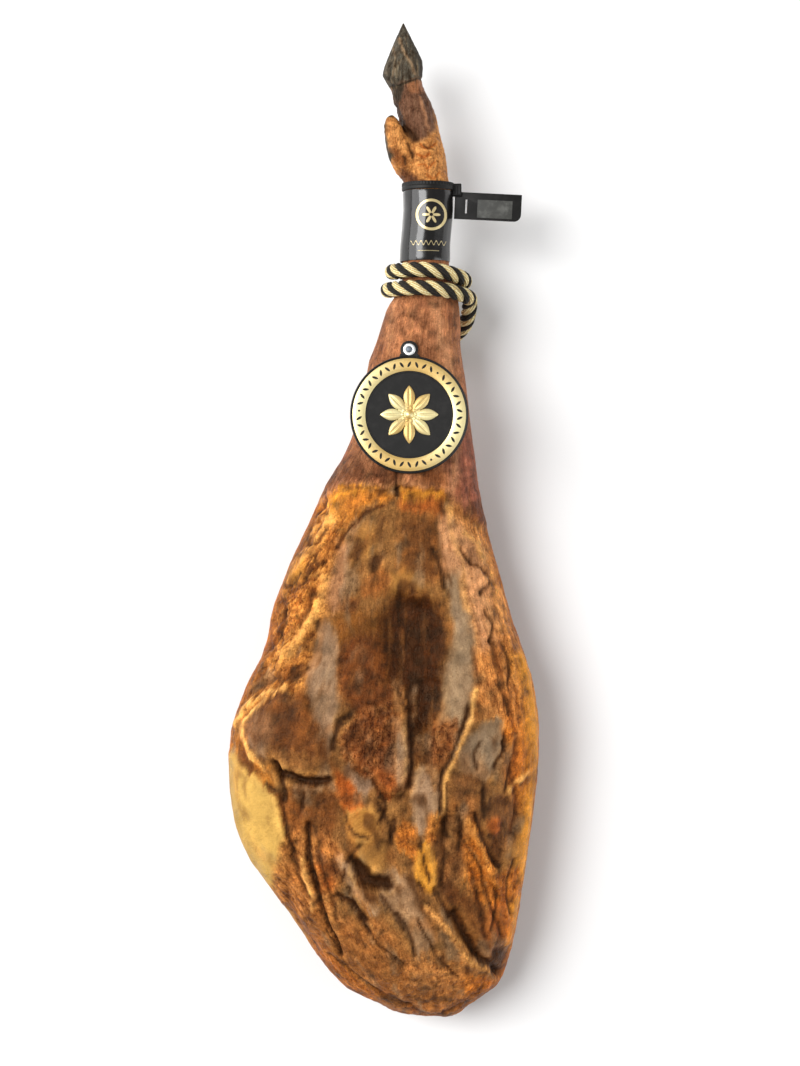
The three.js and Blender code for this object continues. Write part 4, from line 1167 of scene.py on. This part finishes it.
def sleeve():
    """The film sleeve, with its lapped seam at the back and edges that curl in a little."""
    levels = np.linspace(0.2160, 0.2744, 40)
    angle = 2 * np.pi * np.arange(SLEEVE_POINTS) / SLEEVE_POINTS
    lap = 0.25 * MM * smooth_step(np.cos(angle - math.radians(200)), 0.93, 0.96)
    outer = []
    for level in levels:
        spot = np.stack([np.cos(angle), np.full(SLEEVE_POINTS, level * 30), np.sin(angle)], axis=1)
        slack = 0.16 * MM * noise_at(spot * 1.6, 2, 61)
        end = min(level - levels[0], levels[-1] - level)
        curl = -0.25 * MM * (1 - smooth_step(end, 0.0, 1.6 * MM))
        outer.append(ankle_ring(level, lap + slack + curl - 0.1 * MM))
    inner = [ankle_ring(level, -SLEEVE_WALL) for level in levels[::-3]]
    return loft("film_sleeve", np.array(outer + inner), closed=True)


def film_material():
    """Glossy printed film."""
    finish = Finish("black_film", Specular_IOR_Level=0.45, Coat_Weight=0.2, Coat_Roughness=0.06)
    place = finish.place()
    x, y, z = finish.split(place)
    dx = x - PRINT[0]
    dy = y - PRINT[1]
    on_top = finish.ramp(z, 0.074, 0.076)
    far = (dx * dx + dy * dy) ** 0.5
    ring = finish.ramp((far - PRINT_RING).size(), 0.0012, 0.0010)
    turn = finish.maths("ARCTAN2", dy, dx)
    # a six-petalled flower inside the ring and a fine wave below it
    petals = 0.0045 + 0.0030 * (6 * turn).cosine()
    flower = finish.ramp(far - petals, 0.0003, -0.0003)
    eye = finish.ramp(far, 0.0016, 0.0013)
    wave_y = y - WAVE_LEVEL - 0.0016 * (1500 * x).sine()
    wave = finish.ramp(wave_y.size(), 0.0006, 0.0004)
    wave = wave * finish.ramp((x - LINES_MIDDLE).size(), 0.0150, 0.0145)
    fine = finish.ramp((y - FINE_LEVEL).size(), 0.0004, 0.0002)
    fine = fine * finish.ramp((x - LINES_MIDDLE).size(), 0.0090, 0.0088)
    printed = ((ring + flower - eye).clamped() + wave * 0.7 + fine * 0.5).clamped() * on_top
    smudge = finish.noise(place, 130.0, 4.0, 0.6)
    ink = finish.mix(smudge, linear((196, 174, 118)), linear((228, 212, 164)))
    film = finish.mix(finish.ramp(smudge, 0.45, 0.75), linear((14, 12, 11)), linear((26, 22, 19)))
    finish.set("Base Color", finish.mix(printed, film, ink))
    finish.set("Metallic", 0.5 * printed)
    finish.set("Roughness", 0.14 + 0.12 * smudge + 0.2 * printed)
    ripples = finish.noise(finish.stretched(place, (1.0, 0.25, 1.0)), 70.0, 2.0)
    finish.set("Normal", finish.bump(0.0010 * ripples + 0.00008 * smudge + 0.00006 * printed))
    return finish.material


def strap():
    """The seal's strap round the ankle, with fine teeth along its upper edge."""
    count = 4 * STRAP_RIBS
    teeth = np.where(np.arange(count) % 4 < 2, 1.0, 0.0)
    rows = [(0.0, 0.45, 0.0), (0.10, 0.85, 0.0), (0.42, 0.85, 0.0), (0.5, 0.6, 0.0), (0.56, 0.75, 0.1),
            (0.62, 0.7, 0.35), (0.92, 0.6, 0.35), (1.0, 0.35, 0.2), (1.0, -0.6, 0.0), (0.0, -0.6, 0.0)]
    rings = []
    for share, offset, tooth in rows:
        level = STRAP_FROM + (STRAP_TO - STRAP_FROM) * share
        rings.append(ankle_ring(level, (offset + tooth * (teeth - 0.5)) * MM, count))
    return loft("strap", np.array(rings), closed=True)


def flag():
    """The seal's flat tag with one round corner, and a greyer raised panel on it."""
    bpy.ops.object.select_all(action="DESELECT")
    bpy.ops.mesh.primitive_cube_add(size=1.0)
    plate = bpy.context.object
    set_places(plate.data, (places(plate.data) + (0.5, -0.5, 0.0)) * FLAG_SIZE)
    bpy.ops.object.mode_set(mode="EDIT")
    bpy.ops.mesh.select_all(action="DESELECT")
    bpy.ops.object.mode_set(mode="OBJECT")
    for edge in plate.data.edges:
        ends = [plate.data.vertices[i].co for i in edge.vertices]
        edge.select = all(end.x > 0.01 and end.y < -0.01 for end in ends)
    bpy.ops.object.mode_set(mode="EDIT")
    bpy.ops.mesh.select_mode(type="EDGE")
    bpy.ops.mesh.bevel(offset=6 * MM, segments=10, affect="EDGES")
    bpy.ops.object.mode_set(mode="OBJECT")
    apply_modifier(plate, "BEVEL", width=0.35 * MM, segments=2, limit_method="ANGLE")
    top = FLAG_SIZE[2] / 2
    slot = box_between((9 * MM, -17.5 * MM, -2 * MM), (10.4 * MM, -6 * MM, 3 * MM), 0.3 * MM)
    cut_by(plate, slot)
    dressed(plate, PLASTIC)
    panel = box_between((19 * MM, -20.6 * MM, top - 0.2 * MM), (48 * MM, -5.6 * MM, top + 0.3 * MM), 0.2 * MM)
    dressed(panel, PANEL)
    ridges = []
    for i in range(3):
        low = (42.5 * MM, (-18 + 4.2 * i) * MM, top)
        high = (45.8 * MM, (-15.4 + 4.2 * i) * MM, top + 0.55 * MM)
        ridges.append(dressed(box_between(low, high, 0.25 * MM), PANEL))
    whole = joined("flag", [plate, panel, *ridges])
    whole.data.transform(Matrix.Translation(FLAG_CORNER) @ Matrix.Rotation(FLAG_TILT, 4, "Z"))
    return whole


def lock():
    """The seal's moulded lock, with a recess in its top and a rib down its side."""
    block = box_between(LOCK_LOW, LOCK_HIGH, 1.0 * MM, 4)
    middle = (LOCK_LOW + LOCK_HIGH) / 2
    recess = box_between(middle + np.array((-2.6, -3.6, 3.7)) * MM, middle + np.array((2.6, 3.6, 8)) * MM,
                         0.4 * MM)
    cut_by(block, recess)
    tongue = box_between(middle + np.array((-1.0, -5.0, 2.5)) * MM, middle + np.array((1.0, 3.0, 4.1)) * MM,
                         0.3 * MM)
    return dressed(joined("lock", [block, tongue]), PLASTIC)


def plastic_material(name, colour, roughness):
    """Moulded plastic with a fine sparked grain and rubbed patches."""
    finish = Finish(name, Specular_IOR_Level=0.25)
    place = finish.place()
    spark = finish.noise(place, 2600.0, 2.0)
    rub = finish.noise(place, 90.0, 5.0, 0.65)
    light = [min(value * 1.7 + 14, 255) for value in colour]
    finish.set("Base Color", finish.mix(finish.ramp(rub, 0.4, 0.8) * 0.5, linear(colour), linear(light)))
    finish.set("Roughness", roughness + 0.22 * (rub - 0.5) + 0.1 * spark)
    finish.set("Normal", finish.bump(0.00005 * spark + 0.00005 * rub))
    return finish.material


PLASTIC = plastic_material("black_plastic", (19, 18, 17), 0.45)
PANEL = plastic_material("grey_panel", (66, 66, 63), 0.5)
finish_piece(dressed(smooth_shaded(sleeve(), 50), film_material()), "black_film", "label_sleeve")
STRAP = dressed(smooth_shaded(strap(), 25), PLASTIC)
SEAL = smooth_shaded(joined("plastic_seal", [STRAP, lock(), flag()]), 30)
finish_piece(SEAL, "black_plastic", "seal_tag")


# ---------------------------------------------------------------------------------------------- medallion
MEDAL_PLACE = Matrix.Translation(np.array([20, 87.6, 107.6]) * MM + ROW_SHIFT) @ Matrix.Rotation(
    math.radians(-3.6), 4, "X")
RIM = 46.7
SEAT = 2.4
FIELD = 2.7
FIELD_RADIUS = 35.7
RING_INNER = 36.0
RING_OUTER = 46.4
TAB_Y = 53.6
TAB_RADIUS = 7.3
TAB_THICKNESS = 2.6
TAB_HOLE = 3.2
LEAVES = 42
PETALS = 8
BEADS = 10  # round the rosette's middle


def millimetres(outline):
    """An outline in mm as one in metres."""
    return [(radius * MM, height * MM) for radius, height in outline]


def disc():
    """The black disc: rounded rim, seat for the ring, raised field and the tab that it hangs by."""
    round_rim = [(48.1, 0.1), (48.5, 0.6), (48.5, 2.7), (48.25, 3.2), (47.7, 3.45), (47.1, 3.35), (RIM, 3.0)]
    outline = [(0, 0), (47.6, 0), *round_rim, (RIM, SEAT), (FIELD_RADIUS, SEAT), (FIELD_RADIUS, 2.55),
               (35.5, FIELD), (34.6, FIELD), (34.3, 2.45), (0, 2.45)]
    plate = turned(millimetres(outline), 128)
    tab = cylinder(TAB_RADIUS, 0, TAB_THICKNESS, TAB_Y)
    neck = box_between(np.array((-TAB_RADIUS - 2.2, TAB_Y - 9, 0)) * MM,
                       np.array((TAB_RADIUS + 2.2, TAB_Y - 3.4, TAB_THICKNESS)) * MM, 0.05 * MM)
    select_only(neck)
    shape = places(neck.data)
    outer_end = shape[:, 1] > (TAB_Y - 5) * MM
    shape[outer_end, 0] *= 0.77
    set_places(neck.data, shape)
    cut_by(tab, neck, "UNION")
    cut_by(tab, cylinder(TAB_HOLE, -1, 5, TAB_Y))
    cut_by(tab, cylinder(RIM - 0.2, -1, 8, 0))
    apply_modifier(tab, "BEVEL", width=0.4 * MM, segments=3, limit_method="ANGLE")
    return joined("medallion_plate", [plate, tab])


def cylinder(radius, low, high, y, steps=64):
    bpy.ops.object.select_all(action="DESELECT")
    bpy.ops.mesh.primitive_cylinder_add(vertices=steps, radius=radius * MM, depth=(high - low) * MM)
    piece = bpy.context.object
    piece.data.transform(Matrix.Translation((0, y * MM, (low + high) / 2 * MM)))
    return piece


def leaf(angle, radius, length, width, low, high, lean):
    """A small pointed leaf as a prism, standing at an angle round the medallion."""
    bpy.ops.object.select_all(action="DESELECT")
    bpy.ops.mesh.primitive_cylinder_add(vertices=10, radius=1.0, depth=(high - low) * MM)
    piece = bpy.context.object
    shape = places(piece.data)
    shape[:, 0] *= width / 2 * MM * (1 - 0.35 * shape[:, 1] ** 2)
    shape[:, 1] *= length / 2 * MM
    set_places(piece.data, shape)
    centre = Vector((radius * math.cos(angle) * MM, radius * math.sin(angle) * MM, (low + high) / 2 * MM))
    piece.data.transform(Matrix.Translation(centre) @ Matrix.Rotation(angle - math.pi / 2 + lean, 4, "Z"))
    return piece


def garland(low, high):
    """The ring's ornament: leaves that lean in turn to one side and the other, with dots between them."""
    middle = (RING_INNER + RING_OUTER) / 2
    marks = []
    for i in range(LEAVES):
        angle = 2 * math.pi * (i + 0.5) / LEAVES
        if i % 14 == 6:
            marks.append(leaf(angle, middle, 2.0, 2.0, low, high, 0))
        else:
            marks.append(leaf(angle, middle, 5.6, 2.2, low, high, 0.5 if i % 2 else -0.5))
    return joined("garland", marks)


def gilt_ring():
    """The ring with a slightly crowned top, into which the garland is sunk and filled with black."""
    crown = []
    for i in range(9):
        share = i / 8
        radius = RING_OUTER - (RING_OUTER - RING_INNER) * share
        crown.append((radius, 3.2 + 0.75 * (1 - (2 * share - 1) ** 2) ** 0.6))
    ring = turned(millimetres([(RING_INNER, 2.7), (RING_OUTER, 2.7), *crown]), 160)
    cut_by(ring, garland(3.55, 6))
    dressed(ring, GILT)
    return joined("gilt_ring", [ring, dressed(garland(3.3, 3.62), PLASTIC)])


def rosette():
    """A cast rosette of eight pointed petals with a bead in the middle."""
    pieces = [cylinder(9.4, FIELD + 0.1, FIELD + 0.7, 0)]
    for i in range(PETALS):
        bpy.ops.object.select_all(action="DESELECT")
        bpy.ops.mesh.primitive_uv_sphere_add(segments=32, ring_count=24, radius=1.0)
        petal = bpy.context.object
        shape = places(petal.data)
        along_petal = shape[:, 1]
        shape[:, 0] *= 4.9 * (1 - 0.62 * np.abs(along_petal) ** 2.2)
        vein = 0.75 * np.exp(-((shape[:, 0] / 0.9) ** 2)) * (1 - along_petal**2)
        shape[:, 2] = np.where(shape[:, 2] > 0, 1.75 * shape[:, 2] - vein, 0.2 * shape[:, 2])
        shape[:, 1] = 14.2 + 9.8 * along_petal
        shape[:, 2] += FIELD + 0.2
        set_places(petal.data, shape * MM)
        petal.data.transform(Matrix.Rotation(2 * math.pi * i / PETALS, 4, "Z"))
        pieces.append(petal)
    for radius, size in [(0, 3.6), *[(5.4, 1.15)] * BEADS]:
        angle = 2 * math.pi * len(pieces) / BEADS
        bpy.ops.object.select_all(action="DESELECT")
        bpy.ops.mesh.primitive_uv_sphere_add(segments=20, ring_count=12, radius=size * MM)
        bead = bpy.context.object
        bead.data.transform(Matrix.Diagonal((1, 1, 0.6, 1)))
        bead.data.transform(Matrix.Translation(
            Vector((radius * math.cos(angle), radius * math.sin(angle), FIELD + 0.8)) * MM))
        pieces.append(bead)
    whole = joined("rosette", pieces)
    apply_modifier(whole, "REMESH", mode="VOXEL", voxel_size=0.26 * MM)
    apply_modifier(whole, "SMOOTH", factor=0.5, iterations=2)
    whole.data.shade_smooth()
    return whole


def gilt_material():
    """Satin gilt, brushed round the middle, with a painted sheen that is brighter in two opposite arcs round
    it.
    """
    finish = Finish("gilt")
    place = finish.place()
    x, y, _ = finish.split(place)
    dx = x - float(MEDAL_PLACE.translation.x)
    dy = y - float(MEDAL_PLACE.translation.y)
    far = (dx * dx + dy * dy) ** 0.5
    turn = finish.maths("ARCTAN2", dy, dx)
    # painted sheen: the base colour is lighter in two opposite arcs round the middle
    sheen = 0.5 + 0.5 * (2 * turn + 0.5).cosine()
    rings = finish.node("ShaderNodeCombineXYZ", {}, {0: far * 900.0, 1: turn * 3.0, 2: 0.0})
    grain = finish.noise(rings, 1.0, 3.0)
    grit = finish.noise(place, 800.0, 3.0, 0.6)
    light = (0.72 * sheen + 0.5 * (grit - 0.5) + 0.35 * (grain - 0.5)).clamped()
    finish.set("Base Color", finish.mix(light, linear((206, 170, 100)), linear((248, 240, 184))))
    finish.set("Metallic", 0.35 + 0.2 * grit)
    finish.set("Roughness", 0.3 + 0.15 * grain + 0.1 * grit)
    finish.set("Normal", finish.bump(0.00004 * grain + 0.00005 * grit))
    return finish.material


def plated_material(name, dull, bright, roughness):
    """Metal with fine scratches and a little tarnish."""
    finish = Finish(name, Metallic=1.0)
    place = finish.place()
    scratches = finish.noise(finish.stretched(place, (1.0, 0.2, 1.0)), 2200.0, 2.0)
    tarnish = finish.noise(place, 500.0, 3.0)
    finish.set("Base Color", finish.mix(tarnish, linear(dull), linear(bright)))
    finish.set("Roughness", roughness + 0.2 * scratches)
    finish.set("Normal", finish.bump(0.00002 * scratches))
    return finish.material


def eyelet():
    """The rolled metal eyelet in the tab's hole."""
    outline = [(1.75, 0.3), (2.7, 0.3), (2.75, 2.95), (4.6, 2.95), (4.95, 3.1), (5.0, 3.35), (4.7, 3.65),
               (3.8, 3.85), (2.6, 3.8), (1.95, 3.5), (1.75, 3.0)]
    return turned(millimetres(outline), 48)


def pin():
    """The pin with its low domed head."""
    outline = [(0, -15.8), (0.4, -15.2), (1.15, -13), (1.15, 4.02), (2.45, 4.02), (2.5, 4.3), (2.3, 4.8),
               (1.8, 5.2), (1.1, 5.45), (0, 5.5)]
    return turned(millimetres(outline), 32)


GILT = gilt_material()
NICKEL = plated_material("nickel", (226, 228, 230), (244, 244, 242), 0.34)
PIN_STEEL = plated_material("pin_steel", (106, 114, 124), (142, 149, 157), 0.55)


def mounted(name, piece, material, slot, node, y=0.0):
    """Sets a piece of the medallion in its place on the shank."""
    piece.name = name
    if material:
        dressed(piece, material)
    piece.data.transform(MEDAL_PLACE @ Matrix.Translation((0, y * MM, 0)))
    finish_piece(smooth_shaded(piece, 32), slot, node)


mounted("medallion_plate", disc(), PLASTIC, "black_plastic", "medallion_disc")
mounted("gilt_ring", gilt_ring(), None, "gilt", "medallion_ring")
mounted("rosette", rosette(), GILT, "gilt", "medallion_rosette")
mounted("eyelet", eyelet(), NICKEL, "nickel", "medallion_eyelet", TAB_Y)
mounted("pin", pin(), PIN_STEEL, "nickel", "medallion_pin", TAB_Y)


# ---------------------------------------------------------------------------------------- table and light
def add_light(name, place, target, size, power, colour=(1.0, 1.0, 1.0)):
    data = bpy.data.lights.new(name, "AREA")
    data.shape = "RECTANGLE"
    data.size, data.size_y = size
    data.energy = power
    data.color = colour
    light = bpy.data.objects.new(name, data)
    bpy.context.scene.collection.objects.link(light)
    light.location = place
    light.rotation_mode = "QUATERNION"
    light.rotation_quaternion = (Vector(target) - Vector(place)).to_track_quat("-Z", "Y")


def table():
    """The pale table that the ham lies on."""
    bpy.ops.object.select_all(action="DESELECT")
    bpy.ops.mesh.primitive_plane_add(size=8.0)
    floor = bpy.context.object
    floor.name = "table"
    finish = Finish("table_paint", Roughness=0.7, Specular_IOR_Level=0.2)
    grain = finish.noise(finish.place(), 3.0, 2.0)
    finish.set("Base Color", finish.mix(grain, (0.86, 0.86, 0.86), (0.88, 0.88, 0.88)))
    floor.data.materials.append(finish.material)


table()
add_light("left_softbox", (-1.7, 0.5, 0.95), (0.0, -0.05, 0.05), (1.3, 1.5), 22)
add_light("right_softbox", (1.6, -0.3, 0.75), (0.0, -0.05, 0.05), (0.9, 1.5), 12)
key = bpy.data.lights.new("key", "SUN")
key.energy = 2.5
key.angle = math.radians(32)
key_lamp = bpy.data.objects.new("key", key)
bpy.context.scene.collection.objects.link(key_lamp)
key_lamp.rotation_mode = "QUATERNION"
key_lamp.rotation_quaternion = Vector((0.55, -0.2, -1.0)).to_track_quat("-Z", "Y")

world = bpy.data.worlds.new("studio")
world.use_nodes = True
world.node_tree.nodes["Background"].inputs["Color"].default_value = (1.0, 1.0, 1.0, 1.0)
world.node_tree.nodes["Background"].inputs["Strength"].default_value = 0.34
bpy.context.scene.world = world
bpy.context.scene.view_settings.view_transform = "Standard"
